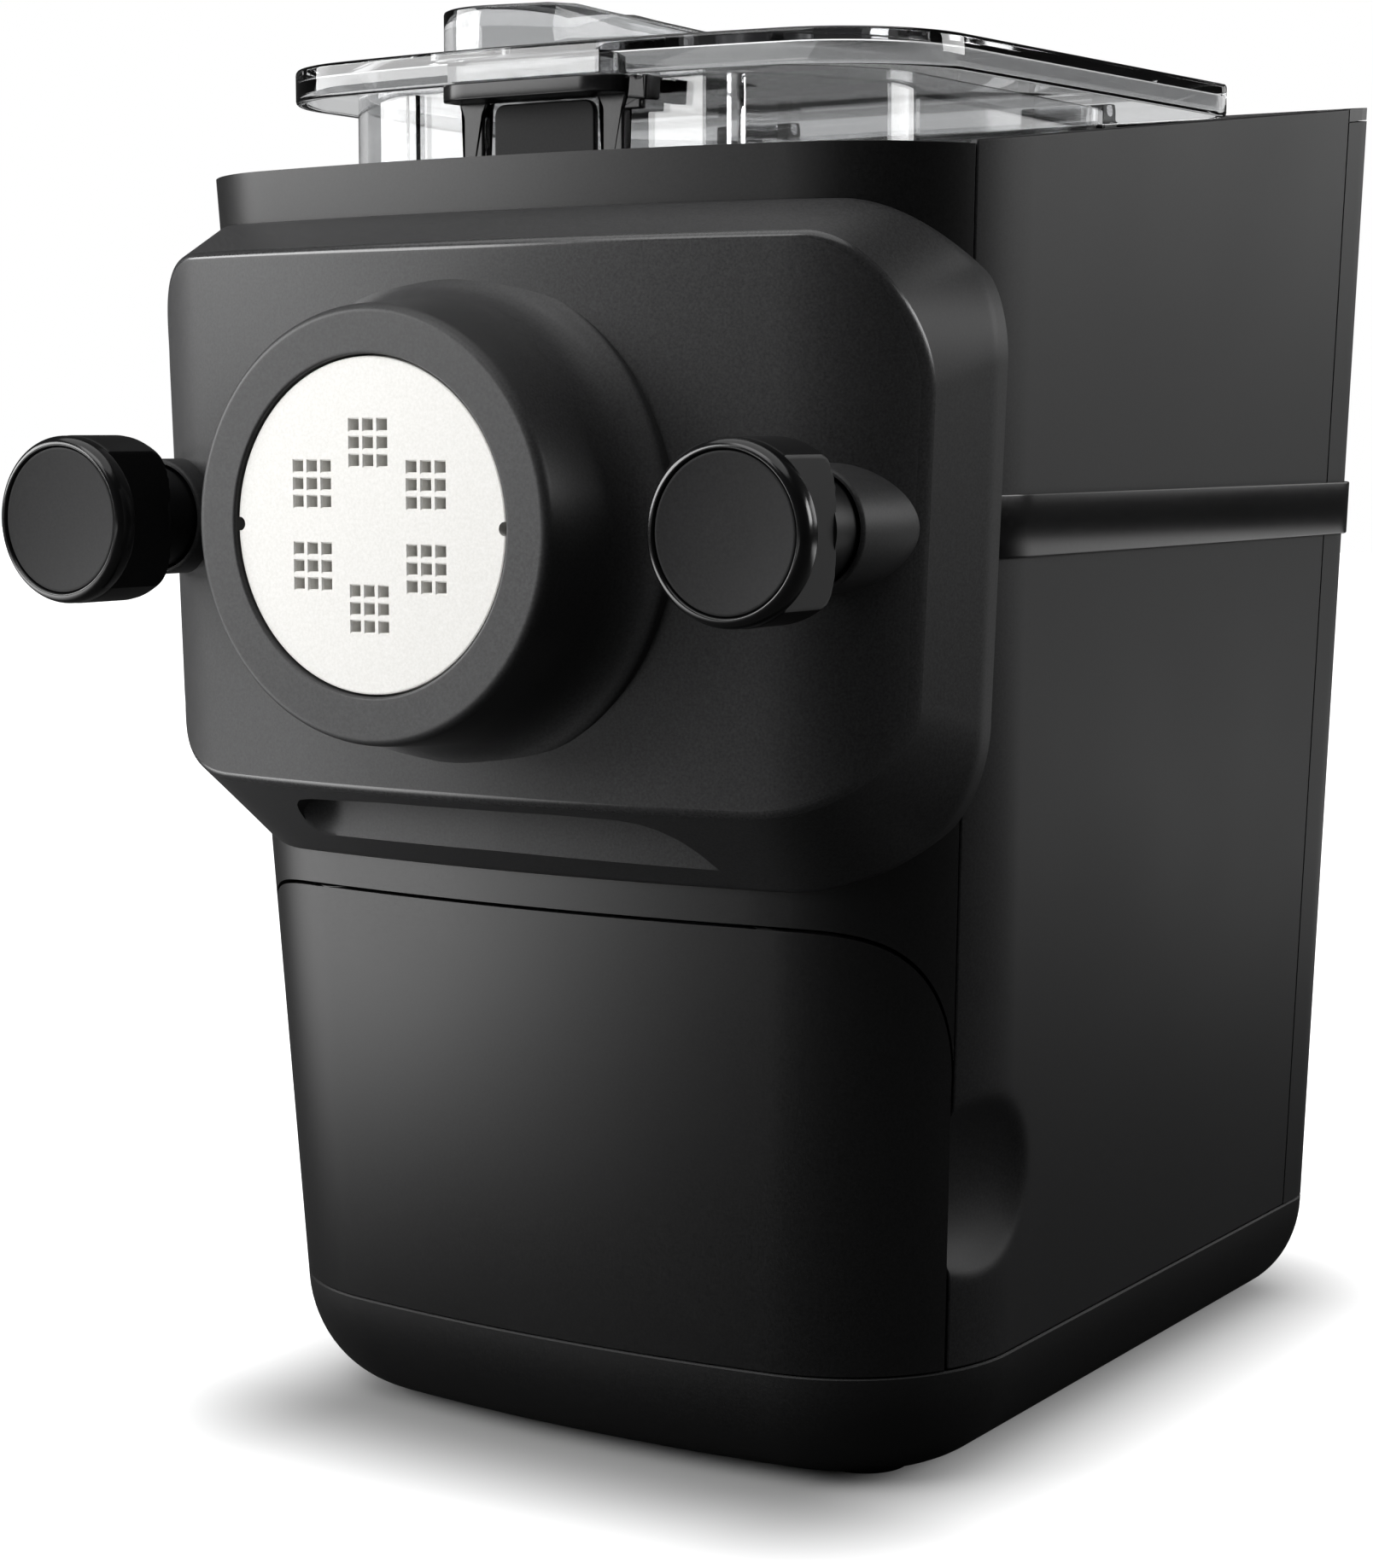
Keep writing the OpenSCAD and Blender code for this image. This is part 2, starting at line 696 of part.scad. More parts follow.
// Panel seen from the front, with sides that lean like the body's
function panel_front(inset) =
    let (r0 = panel_low_r - inset, r1 = panel_high_r - inset,
        z0 = panel_low + panel_low_r, z1 = panel_high - panel_high_r,
        x0 = panel_w(z0) - panel_low_r, x1 = panel_w(z1) - panel_high_r,
        p = concat([for (a = [0:15:90]) [x0 + r0 * sin(a), z0 - r0 * cos(a)]],
            [for (a = [0:15:90]) [x1 + r1 * cos(a), z1 + r1 * sin(a)]]))
    concat(p, [for (i = [len(p) - 1:-1:0]) [-p[i][0], p[i][1]]]);
// Panel seen from the side: a face between two slanted skirts
function panel_side(inset) =
    let (low = inset / cos(atan(low_drop / low_back)), high = inset / cos(atan(high_drop / high_back)),
        y_end = inset > 0 ? y_skirt + 20 : y_skirt)
    [[y_end, panel_low + inset],
     [y_panel + low_back + (low - inset) * low_back / low_drop, panel_low + inset],
     [y_panel + inset, panel_low + low + (low_back - inset) * low_drop / low_back],
     [y_panel + inset, panel_high - high - (high_back - inset) * high_drop / high_back],
     [y_panel + high_back + (high - inset) * high_back / high_drop, panel_high - inset],
     [y_end, panel_high - inset]];
module panel_form(inset) {
    intersection() {
        translate([0, 0, panel_low - 1]) linear_extrude(panel_high - panel_low + 2) panel_plan(inset);
        xz_prism(panel_front(inset));
        yz_prism(panel_side(inset));
    }
}
neck_r = 13.6;
boss_r = neck_r + 1.7;
y_boss = y_panel + 11;
spindle_r = 9;
module front_panel() {
    color("#2f3032") difference() {
        union() {
            difference() {
                panel_form(0);
                panel_form(panel_wall);
                body_form(-0.5);
            }
            // bosses that guide the knob spindles
            both_sides() difference() {
                y_rod(boss_r, y_boss, y_boss + 18, knob_x, knob_z);
                body_form(-0.5);
            }
        }
        y_rod(flange_r + run_gap, y_collar, y_panel + 40);
        both_sides() {
            y_rod(spindle_r + run_gap, y_collar, y_panel + 60, knob_x, knob_z);
            // flat seat for the knob's neck
            y_rod(neck_r + 2 * fit_gap, y_collar, y_boss, knob_x, knob_z);
        }
        // finger slot in the lower skirt
        box(-grip_half_w + 5, grip_half_w - 5, y_collar, front_y(panel_low) - 1,
            panel_low + 6, panel_low + 15);
        both_sides() y_rod(4.5, y_collar, front_y(panel_low) - 1, grip_half_w - 5, panel_low + 10.5);
    }
}
// Collar round the disc: turned profile as [radius, distance behind its face]
module barrel_collar() {
    reach = collar_reach + 6;
    color("#1c1d1f") translate([0, y_collar, axis_h]) rotate([-90, 0, 0]) rotate_extrude($fn = 128)
        polygon([[disc_r + 0.5, 0.6], [disc_r + 1.2, 0], [collar_r - 2.4, 0], [collar_r - 0.8, 0.9],
            [collar_r, 2.6], [collar_r + 1.2, 22], [collar_r + 4.5, collar_reach - 1],
            [flange_r - 0.6, collar_reach + 1], [flange_r, collar_reach + 2], [flange_r, reach],
            [disc_r + 4.4, reach], [disc_r + 4.4, 6.8], [disc_r + 0.5, 6.8]]);
}

// ---- knobs ------------------------------------------------------------
y_knob = y_collar + 4;
rim_ring_t = 6;
knob_flat = knob_r - 9.6;
cap_r = knob_r - 2.9;
spigot_r = knob_flat - 1;
module knob_grip(side) {
    x = side * knob_x;
    head = y_knob + knob_head_l;
    color("#1a1b1d") difference() {
        union() {
            intersection() {
                translate([x, y_knob + rim_ring_t, knob_z]) rotate([-90, 0, 0])
                    rotate_extrude($fn = 96) polygon(concat([[0, 0], [knob_r, 0]],
                        [for (a = [0:15:90]) [knob_r - 6 + 6 * cos(a), knob_head_l - rim_ring_t - 6 + 6 * sin(a)]],
                        [[0, knob_head_l - rim_ring_t]]));
                box(x - knob_flat, x + knob_flat, -big, big, 0, big);
            }
            y_rod(neck_r, head - 1, y_boss - fit_gap, x, knob_z);
            y_rod(spindle_r, head, y_panel + 24, x, knob_z);
            // spigot that locates the rim ring and the cap
            y_rod(spigot_r, y_knob + 2, y_knob + rim_ring_t + 1, x, knob_z);
        }
        y_rod(stud_r + run_gap, head - 12, y_panel + 30, x, knob_z);
    }
}
module knob_rim(side) {
    color("#050506") difference() {
        translate([side * knob_x, y_knob, knob_z]) rotate([-90, 0, 0]) rotate_extrude($fn = 96)
            polygon(concat([[spigot_r, 0.8], [cap_r + 0.8, 0.8]],
                [for (a = [0:15:90]) [knob_r - 2 + 2 * sin(a), 2 - 2 * cos(a)]],
                [[knob_r, rim_ring_t - 1], [knob_r - 1, rim_ring_t], [spigot_r, rim_ring_t]]));
        y_rod(cap_r + 0.1, y_knob - 1, y_knob + 2, side * knob_x, knob_z);
    }
}
module knob_cap(side) {
    color("#26272a") y_rod(cap_r, y_knob + 0.5, y_knob + 2, side * knob_x, knob_z);
}
module knob_left() {
    knob_grip(-1);
}
module knob_right() {
    knob_grip(1);
}
module knob_left_rim() {
    knob_rim(-1);
}
module knob_right_rim() {
    knob_rim(1);
}
module knob_left_cap() {
    knob_cap(-1);
}
module knob_right_cap() {
    knob_cap(1);
}
module knob_studs() {
    color("#a4a8ac") both_sides() {
        y_rod(stud_r, y_panel - 6, y_stud_plate, knob_x, knob_z);
        y_rod(stud_r + 3, y_stud_plate, y_stud_plate + 3, knob_x, knob_z);
    }
}

// ---- lid --------------------------------------------------------------
lid_z = rim_h + 20.5;
lid_plate = 3;
lid_rim = 3;
hinge_y = y_chamber_back + 10;
hinge_z = lid_z + 6;
hinge_r = 4;
pin_r = 2;
ear_t = 4;
knuckle_x0 = 44;
knuckle_x1 = 64;
ear_x = [knuckle_x0 - fit_gap - ear_t, knuckle_x1 + fit_gap];
y_lid = y_chamber - 8.5;
y_lid_back = hinge_y - hinge_r - 2;
tab_half_w = 23.5;
inlet_x = -43;
inlet_y = y_chamber + 45;
slot_half_l = 12;
function lid_plan(inset) = bowed_plan(chamber_r + lid_front_over - inset, chamber_r + lid_rear_over - inset,
    y_lid + inset, y_lid_back - inset, bow_r, 38 - inset, 9 - inset);
module lid() {
    color("#85898d", 0.4) union() {
        difference() {
            translate([0, 0, lid_z]) linear_extrude(lid_t) polygon(lid_plan(0));
            translate([0, 0, lid_z - 1]) linear_extrude(lid_t - lid_plate + 1) polygon(lid_plan(lid_rim));
            box(-tab_half_w - 0.5, tab_half_w + 0.5, -big, y_lid + 8, lid_z - 1, lid_z + lid_t - lid_plate);
            box(inlet_x - slot_half_l, inlet_x + slot_half_l, inlet_y - 5, inlet_y + 5, 0, big);
        }
        both_sides() difference() {
            union() {
                x_rod(hinge_r, knuckle_x0, knuckle_x1, hinge_y, hinge_z);
                box(knuckle_x0, knuckle_x1, y_lid_back - 1, hinge_y, hinge_z - 1, lid_z + lid_t);
            }
            x_rod(pin_r + run_gap, knuckle_x0 - 1, knuckle_x1 + 1, hinge_y, hinge_z);
        }
    }
}
module hinge_pins() {
    color("#b4b8bc") both_sides()
        x_rod(pin_r, ear_x[0], ear_x[1] + ear_t, hinge_y, hinge_z);
}
// Outline of the inlet: a round end with straight sides that meet in a tail
function inlet_outline(r, tail) =
    let (a = asin(r / (tail - inlet_x)))
    concat([for (i = [0:36]) let (t = 90 - a + (180 + 2 * a) * i / 36) [r * cos(t), r * sin(t)]],
        [[tail - inlet_x, 0]]);
inlet_tail = 30;
module water_inlet() {
    z0 = lid_z + lid_t;
    color("#8b8f93", 0.4) difference() {
        intersection() {
            translate([inlet_x, inlet_y, z0]) linear_extrude(inlet_h + 1)
                polygon(inlet_outline(inlet_r, inlet_tail));
            xz_prism([[-big, z0], [inlet_tail, z0], [inlet_tail, z0 + 2], [inlet_x + inlet_r + 12, z0 + inlet_h - 3],
                [inlet_x + inlet_r, z0 + inlet_h], [-big, z0 + inlet_h]]);
        }
        translate([inlet_x, inlet_y, z0 - 1]) linear_extrude(inlet_h + 3)
            polygon(inlet_outline(inlet_r - 2.5, inlet_tail - 12));
    }
}
// Dark frame at the front of the lid that engages the catch
module lid_tab() {
    color("#1d1e20") difference() {
        box(-tab_half_w, tab_half_w, y_lid - 6, y_lid + 7, lid_z, lid_z + lid_t - lid_plate - 0.5);
        box(-tab_half_w + 2, tab_half_w - 2, y_lid - 4, y_lid + 5, lid_z - 1, lid_z + 4);
    }
}
// Bracket behind the front rim that the lid locks on
module lid_catch() {
    y0 = y_chamber - 5.5;
    lip_low = lid_z - 4;
    strip = rim_h - deck_drop - deck_t;
    color("#0f1012") union() {
        both_sides() box(18.5, catch_half_w, y0, y0 + 3, strip - 12, lip_low + 1);
        box(-16.5, 16.5, y0 + 0.5, y0 + 2.5, strip - 12, lip_low + 1);
        intersection() {
            box(-27, 27, y_lid - 2.5, y0 + 3, lip_low, lid_z - 0.4);
            translate([0, y0 - 2, 0]) linear_extrude(big) round_rect(27, 7, 4);
        }
        // foot under the front strip of the deck
        box(-catch_half_w, catch_half_w, y_chamber - 22, y0 + 3, strip - 3, strip);
        box(-catch_half_w, catch_half_w, y0, y0 + 3, strip - 12, strip - 3);
        for (x = [-9, 8]) translate([x, y_lid + 0.5, lid_z - 1]) cylinder(r = 1.5, h = 3);
    }
}
module lid_switch() {
    y0 = y_chamber - 5.5;
    color("#17181a") union() {
        box(27.8, 34, y0 - 4, y0 + 3, lid_z - 9, lid_z - 1.5);
        box(catch_half_w, 28, y0, y0 + 3, lid_z - 9, lid_z - 5);
    }
}

// ---- drive ------------------------------------------------------------
y_case = y_bulkhead + bulkhead_t;
case_wall = 2.5;
y_gears = y_case + case_wall + 2;
gear_t = 7;
pinion_teeth = 12;
wheel_teeth = 42;
small_teeth = 13;
output_teeth = 54;
tooth = 1.35;         // pitch radius per tooth
mesh_gap = 2;
function gear_r(n) = n * tooth / 2;
int_d = gear_r(small_teeth) + gear_r(output_teeth) + mesh_gap;
pin_d = gear_r(pinion_teeth) + gear_r(wheel_teeth) + mesh_gap;
int_x = -0.8 * int_d;
int_z = axis_h - 0.6 * int_d;
motor_x = int_x - 0.2 * pin_d;
motor_z = int_z - sqrt(0.96) * pin_d;
motor_r = 28;
y_motor = y_gears + 2 * gear_t + 5;
y_motor_back = y_motor + 38;
module gear(n, y0, x, z, bore) {
    r = gear_r(n);
    translate([x, y0, z]) rotate([-90, 0, 0]) linear_extrude(gear_t - 1) difference() {
        union() {
            circle(r - 1.1);
            for (i = [0:n - 1]) rotate(i * 360 / n) translate([r - 0.6, 0])
                square([2.6, tooth * 1.1], center = true);
        }
        circle(bore);
    }
}
module case_plan(grow) {
    translate([0, 0]) circle(gear_r(output_teeth) + 4 + grow);
    translate([int_x, int_z - axis_h]) circle(gear_r(wheel_teeth) + 4 + grow);
    translate([motor_x, motor_z - axis_h]) circle(gear_r(pinion_teeth) + 6 + grow);
}
module case_solid(grow, y0, y1) {
    translate([0, y1, axis_h]) rotate([90, 0, 0]) linear_extrude(y1 - y0) case_plan(grow);
}
module gearbox_case() {
    color("#35373a") difference() {
        case_solid(case_wall, y_case, y_motor);
        case_solid(0, y_case + case_wall, y_motor - case_wall);
        y_rod(shaft_r + 5, y_case - 1, y_case + case_wall + 1);
        y_rod(shaft_r + 0.6, y_motor - 5, y_motor + 1);
        y_rod(3.6, y_motor - 5, y_motor + 1, motor_x, motor_z);
        y_rod(2.5, y_case - 1, y_motor + 1, int_x, int_z);
    }
}
module gear_axle() {
    color("#aeb2b6") y_rod(2.5, y_case, y_motor, int_x, int_z);
}
module bearings() {
    color("#c2c6ca") difference() {
        y_rod(shaft_r + 5, y_bulkhead - 0.2, y_case + case_wall - 0.2);
        y_rod(shaft_r + run_gap, y_bulkhead - 5, y_case + case_wall + 5);
    }
}
module output_gear() {
    color("#d8d3c4") gear(output_teeth, y_gears, 0, axis_h, shaft_r);
}
module intermediate_gear() {
    color("#cfcab9") difference() {
        union() {
            gear(small_teeth, y_gears, int_x, int_z, 2);
            gear(wheel_teeth, y_gears + gear_t, int_x, int_z, 2);
            y_rod(5, y_gears + gear_t - 2, y_gears + gear_t + 1, int_x, int_z);
        }
        y_rod(2.5 + run_gap, y_gears - 1, y_motor, int_x, int_z);
    }
}
module motor_pinion() {
    color("#c9a54a") union() {
        gear(pinion_teeth, y_gears + gear_t, motor_x, motor_z, 2);
        y_rod(3, y_gears + gear_t, y_motor + 1, motor_x, motor_z);
        y_rod(3, y_motor_back - 1, y_motor_back + 7, motor_x, motor_z);
        y_rod(2.2, y_motor, y_motor_back, motor_x, motor_z);
    }
}
module motor() {
    color("#8e9296") difference() {
        y_rod(motor_r, y_motor, y_motor_back, motor_x, motor_z);
        y_rod(3 + run_gap, y_motor - 1, y_motor_back + 1, motor_x, motor_z);
    }
}
module cooling_fan() {
    color("#2e3033") difference() {
        union() {
            y_rod(8, y_motor_back + 1, y_motor_back + 7, motor_x, motor_z);
            for (a = [0:60:300]) translate([motor_x, y_motor_back + 4, motor_z])
                rotate([0, a, 0]) rotate([0, 0, 30]) box(-3, 3, -0.8, 0.8, 6, motor_r - 3);
        }
        y_rod(3, y_motor_back, y_motor_back + 8, motor_x, motor_z);
    }
}
module power_board() {
    board_z = floor_z + floor_t + 6;
    x0 = motor_x + motor_r + 8;
    y0 = y_motor + 2;
    x1 = rail_x + 2;
    y1 = y_rear - wall - 7;
    color("#2c6b44") union() {
        box(x0, x1, y0, y1, board_z, board_z + 1.6);
        for (x = [x0 + 5, x1 - 5], y = [y0 + 5, y1 - 5])
            translate([x, y, floor_z + floor_t]) cylinder(r = 3, h = 6);
        translate([x0 + 18, (y0 + y1) / 2, board_z + 1.6]) cylinder(r = 9, h = 24);
        box(x0 + 34, x0 + 60, y0 + 6, y1 - 8, board_z + 1.6, board_z + 22);
    }
}

base_tray();
rubber_feet();
load_cells();
housing_screws();
chassis();
drawer_runners();
storage_drawer();
front_housing();
side_panel_left();
side_panel_right();
rear_cover();
cord_gland();
trim_band();
top_deck();
control_panel();
display_window();
button_power();
button_program();
button_weight();
button_start();
control_board();
mixing_chamber();
chamber_seal();
mixing_paddle();
extrusion_screw();
drive_shaft();
extrusion_tube();
shaping_disc();
front_panel();
barrel_collar();
knob_studs();
knob_left();
knob_left_rim();
knob_left_cap();
knob_right();
knob_right_rim();
knob_right_cap();
lid();
hinge_pins();
water_inlet();
lid_tab();
lid_catch();
lid_switch();
gearbox_case();
gear_axle();
bearings();
output_gear();
intermediate_gear();
motor_pinion();
motor();
cooling_fan();
power_board();
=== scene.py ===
import math
import bmesh
import bpy
import numpy as np
from mathutils import Matrix, Vector


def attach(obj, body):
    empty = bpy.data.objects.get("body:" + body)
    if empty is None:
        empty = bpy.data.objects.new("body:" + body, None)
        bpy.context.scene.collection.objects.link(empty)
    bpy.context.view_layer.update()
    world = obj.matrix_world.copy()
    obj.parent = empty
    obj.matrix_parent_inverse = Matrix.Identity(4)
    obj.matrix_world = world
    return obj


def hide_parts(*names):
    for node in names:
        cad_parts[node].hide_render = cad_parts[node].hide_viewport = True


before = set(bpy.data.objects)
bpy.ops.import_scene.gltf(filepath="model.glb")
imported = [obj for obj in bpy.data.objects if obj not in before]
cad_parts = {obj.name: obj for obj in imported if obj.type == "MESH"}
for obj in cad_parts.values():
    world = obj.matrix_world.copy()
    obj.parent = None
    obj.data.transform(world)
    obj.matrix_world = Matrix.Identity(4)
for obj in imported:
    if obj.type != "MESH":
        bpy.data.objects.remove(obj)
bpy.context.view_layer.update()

# ---- camera ------------------------------------------------------------
# A long lens, low and to the right of the front: it stands below the rim,
# so the lid is seen from underneath and the control deck is hidden.
yaw, pitch, eye = 0.5689, 0.1112, (0.47731, -0.77856, 0.27420)
SENSOR_MM, FOCAL_PX, FRAME_PX = 36, 3722.07, 1837
ahead = Vector((-math.sin(yaw) * math.cos(pitch), math.cos(yaw) * math.cos(pitch), -math.sin(pitch)))
rightward = Vector((math.cos(yaw), math.sin(yaw), 0))
upward = rightward.cross(ahead)
lens = bpy.data.cameras.new("studio_camera")
lens.sensor_fit = "VERTICAL"
lens.sensor_height = SENSOR_MM
lens.lens = SENSOR_MM * FOCAL_PX / FRAME_PX
lens.clip_start = 0.05
camera = bpy.data.objects.new("studio_camera", lens)
camera.matrix_world = Matrix.Translation(eye) @ Matrix((rightward, upward, -ahead)).transposed().to_4x4()
bpy.context.scene.collection.objects.link(camera)
bpy.context.scene.camera = camera

# ---- base tray ---------------------------------------------------------
# One moulding in black ABS that closes the body underneath: a bowl with a
# large round edge all the way round, resting on four rubber feet.
MM = 0.001
BODY_W, SIDE_LEAN, FRONT_LEAN = 238.8, 0.041, 0.0651
AXIS_H, RIM_H, RIM_SLOPE, Y_FRONT = 251.0, 342.5, 0.112, -122.4
Y_REAR, Y_KINK, BASE_H = 173.5, -96.6, 33.0
BOW_R, CORNER_R, REAR_R = 511, 50, 22
WALL, GAP = 2.6, 0.45


def half_width(z):
    """Half the body's width: it grows with height as the sides lean out."""
    return BODY_W / 2 + SIDE_LEAN * (z - AXIS_H)


def plan_parts(z, inset):
    """The body's plan at a height: half width, front and rear y, radii of the bow, front corner and rear
    corner, y of the front corner's centre, and the angle at which the bow meets that corner."""
    w, y0, y1 = half_width(z) - inset, Y_FRONT + FRONT_LEAN * (RIM_H - z) + inset, Y_REAR - inset
    rb, rc, rr = BOW_R - inset, max(4, CORNER_R - inset), max(3, REAR_R - inset)
    yc = y0 + rb - np.sqrt((rb - rc) ** 2 - (w - rc) ** 2)
    return w, y0, y1, rb, rc, rr, yc, np.arctan2(w - rc, y0 + rb - yc)


def outline(d, z, inset=0.0):
    """Point of the body's plan at distance d from the middle of the front, to the right (+) or left (-).

    The plan is a bow across the front, a corner, a straight side and a rear corner, so each stretch is an
    arc or a line taken by its own length. Returns x and y."""
    d, z = np.broadcast_arrays(np.asarray(d, float), np.asarray(z, float))
    side, d = np.sign(d) + (d == 0), np.abs(d)
    w, y0, y1, rb, rc, rr, yc, turn = plan_parts(z, inset)
    e1 = rb * turn
    e2 = e1 + rc * (np.pi / 2 - turn)
    e3 = e2 + y1 - rr - yc
    e4 = e3 + rr * np.pi / 2
    a, b, c = d / rb, turn + (d - e1) / rc, (d - e3) / rr
    stretches = [d < e1, d < e2, d < e3, d < e4]
    x = np.select(stretches, [rb * np.sin(a), w - rc + rc * np.sin(b), w, w - rr + rr * np.cos(c)],
                  w - rr - (d - e4))
    y = np.select(stretches, [y0 + rb - rb * np.cos(a), yc - rc * np.cos(b), yc + d - e2,
                              y1 - rr + rr * np.sin(c)], y1)
    return side * x, y


def half_length(z, inset=0.0):
    """Length of the plan from the middle of the front to the middle of the back."""
    w, y0, y1, rb, rc, rr, yc, turn = plan_parts(z, inset)
    return rb * turn + rc * (np.pi / 2 - turn) + y1 - rr - yc + rr * np.pi / 2 + w - rr


def distance_at(y, z, inset=0.0):
    """Distance along the plan at which its corner or side passes a given y: the inverse of outline."""
    w, y0, y1, rb, rc, rr, yc, turn = plan_parts(z, inset)
    on_arc = rb * turn + rc * (np.arccos(np.clip((yc - y) / rc, -1, 1)) - turn)
    return np.where(y < yc, on_arc, rb * turn + rc * (np.pi / 2 - turn) + y - yc)


def quads(m, n, wrap):
    """Corner numbers of the faces between m rows of n points; wrap joins each row's end to its start."""
    i, j = np.arange(m - 1)[:, None], np.arange(n if wrap else n - 1)[None, :]
    a, b = i * n + j, i * n + (j + 1) % n
    return np.stack([a, b, b + n, a + n], -1).reshape(-1, 4)


def capped(m, n, base=0):
    """Faces of a stack of m rings of n points, closed at both ends and numbered from base."""
    low, high = range(base, base + n), range(base + (m - 1) * n, base + m * n)
    return (quads(m, n, True) + base).tolist() + [list(low)[::-1], list(high)]


def turn_outwards(mesh, weld):
    """Turns the faces of closed shapes outwards; weld first joins points that meet."""
    work = bmesh.new()
    work.from_mesh(mesh)
    if weld:
        bmesh.ops.remove_doubles(work, verts=work.verts, dist=2e-7)
        bmesh.ops.dissolve_degenerate(work, edges=work.edges, dist=1e-7)
    bmesh.ops.recalc_face_normals(work, faces=work.faces)
    work.to_mesh(mesh)
    work.free()


def smoothed(mesh, sharp=38):
    """Shades a mesh smooth, except across edges sharper than an angle in degrees."""
    mesh.polygons.foreach_set("use_smooth", np.ones(len(mesh.polygons), bool))
    mesh.set_sharp_from_angle(angle=math.radians(sharp))


def add_steps(piece, steps):
    """Adds modifiers, each given as its kind and its settings."""
    for kind, settings in steps:
        added = piece.modifiers.new(kind.lower(), kind)
        for key, value in settings.items():
            setattr(added, key, value)


def finished(name, points, faces, body, material, hides=(), slot=None, sharp=38, modifiers=(), mend=True):
    """Makes the mesh piece from points in mm, turns its faces outwards, and hangs it on its body."""
    mesh = bpy.data.meshes.new(name)
    mesh.from_pydata((np.asarray(points).reshape(-1, 3) * MM).tolist(), [], [list(f) for f in faces])
    if mend:
        turn_outwards(mesh, weld=True)
    smoothed(mesh, sharp)
    mesh.materials.append(material)
    piece = bpy.data.objects.new(name, mesh)
    bpy.context.scene.collection.objects.link(piece)
    add_steps(piece, modifiers)
    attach(piece, body)
    if hides:
        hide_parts(*hides)
    return piece


def loft(name, rings, body, material, loop=False, **rest):
    """Closed surface through rings of equal count, each a closed curve. Both ends are fans to the ring's
    middle; loop joins the last ring to the first instead, as round a tube's wall."""
    rings = np.asarray(rings, float)
    m, n = rings.shape[:2]
    points, j = rings.reshape(-1, 3), np.arange(n)
    if loop:
        return finished(name, points, quads(m + 1, n, True) % (m * n), body, material, **rest)
    faces = quads(m, n, True).tolist()
    for ring in (0, m - 1):
        fan = np.stack([np.full(n, len(points)), ring * n + j, ring * n + (j + 1) % n], -1)
        faces += (fan if ring else fan[:, ::-1]).tolist()
        points = np.vstack([points, rings[ring].mean(0)])
    return finished(name, points, faces, body, material, **rest)


def moulded(thick, edge, segments=3, angle=50):
    """Modifiers of a moulded wall: thickened inwards, then its sharp edges rounded."""
    return [("SOLIDIFY", {"thickness": thick * MM, "offset": -1}),
            ("BEVEL", {"width": edge * MM, "segments": segments, "limit_method": "ANGLE",
                       "angle_limit": math.radians(angle), "harden_normals": True,
                       "use_clamp_overlap": True})]


def shell(name, grid, body, material, steps, wrap=False, hides=()):
    """Charcoal wall from a grid of points on its outer face, turned away from the middle of the body; wrap
    joins each row's end to its start."""
    grid = np.asarray(grid, float)
    faces, flat = quads(*grid.shape[:2], wrap), grid.reshape(-1, 3)
    corner = flat[faces]
    normal = np.cross(corner[:, 2] - corner[:, 0], corner[:, 3] - corner[:, 1])
    if (normal * (corner.mean(1) - np.array((0.0, 20.0, 200.0)))).sum() < 0:
        faces = faces[:, ::-1]
    return finished(name, flat, faces, body, material, mend=False, modifiers=steps, hides=hides,
                    slot="charcoal_plastic")


def feed(tree, node, **links):
    """Fills a node's inputs with values, sockets or other nodes' first outputs; _2 is the third input."""
    for key, value in links.items():
        socket = node.inputs[int(key[1:])] if key[0] == "_" else node.inputs[key.replace("_", " ")]
        if isinstance(value, bpy.types.Node):
            value = value.outputs[0]
        if isinstance(value, bpy.types.NodeSocket):
            tree.links.new(value, socket)
        else:
            socket.default_value = value


def chain(tree, kind, settings=None, **links):
    """Adds a shader node, sets its properties and feeds it."""
    node = tree.nodes.new("ShaderNode" + kind)
    for key, value in (settings or {}).items():
        setattr(node, key, value)
    feed(tree, node, **links)
    return node


# Spark-eroded mould texture: fine grain that varies colour, roughness and height,
# under broad soft patches where the surface is a little more or less matt.
GRAIN = bpy.data.node_groups.new("mould_grain", "ShaderNodeTree")
GRAIN.interface.new_socket(name="Vector", in_out="INPUT", socket_type="NodeSocketVector")
for socket, kind, value in (
        ("Size", "Float", 1500.0), ("Dark", "Color", (0.03, 0.03, 0.03, 1)),
        ("Light", "Color", (0.06, 0.06, 0.06, 1)), ("Smooth", "Float", 0.4), ("Matt", "Float", 0.6)):
    made = GRAIN.interface.new_socket(name=socket, in_out="INPUT", socket_type="NodeSocket" + kind)
    made.default_value = value
for socket, kind in (("Colour", "Color"), ("Roughness", "Float"), ("Height", "Float")):
    GRAIN.interface.new_socket(name=socket, in_out="OUTPUT", socket_type="NodeSocket" + kind)
given, made = GRAIN.nodes.new("NodeGroupInput").outputs, GRAIN.nodes.new("NodeGroupOutput")
fine = chain(GRAIN, "TexNoise", Vector=given["Vector"], Scale=given["Size"], Detail=3.0, Roughness=0.65)
broad = chain(GRAIN, "TexNoise", Vector=given["Vector"], Scale=9.0, Detail=2.0)
speck = chain(GRAIN, "MapRange", Value=fine, From_Min=0.32, From_Max=0.68)
tint = chain(GRAIN, "Mix", {"data_type": "RGBA"}, _0=speck, _6=given["Dark"], _7=given["Light"])
patch = chain(GRAIN, "Math", {"operation": "MULTIPLY_ADD"}, _0=broad, _1=0.7, _2=0.0)
mixed = chain(GRAIN, "Math", {"operation": "MULTIPLY_ADD"}, _0=speck, _1=0.3, _2=patch)
rough = chain(GRAIN, "MapRange", Value=mixed, From_Min=0.15, From_Max=0.85, To_Min=given["Smooth"],
              To_Max=given["Matt"])
feed(GRAIN, made, Colour=tint.outputs[2], Roughness=rough, Height=fine)


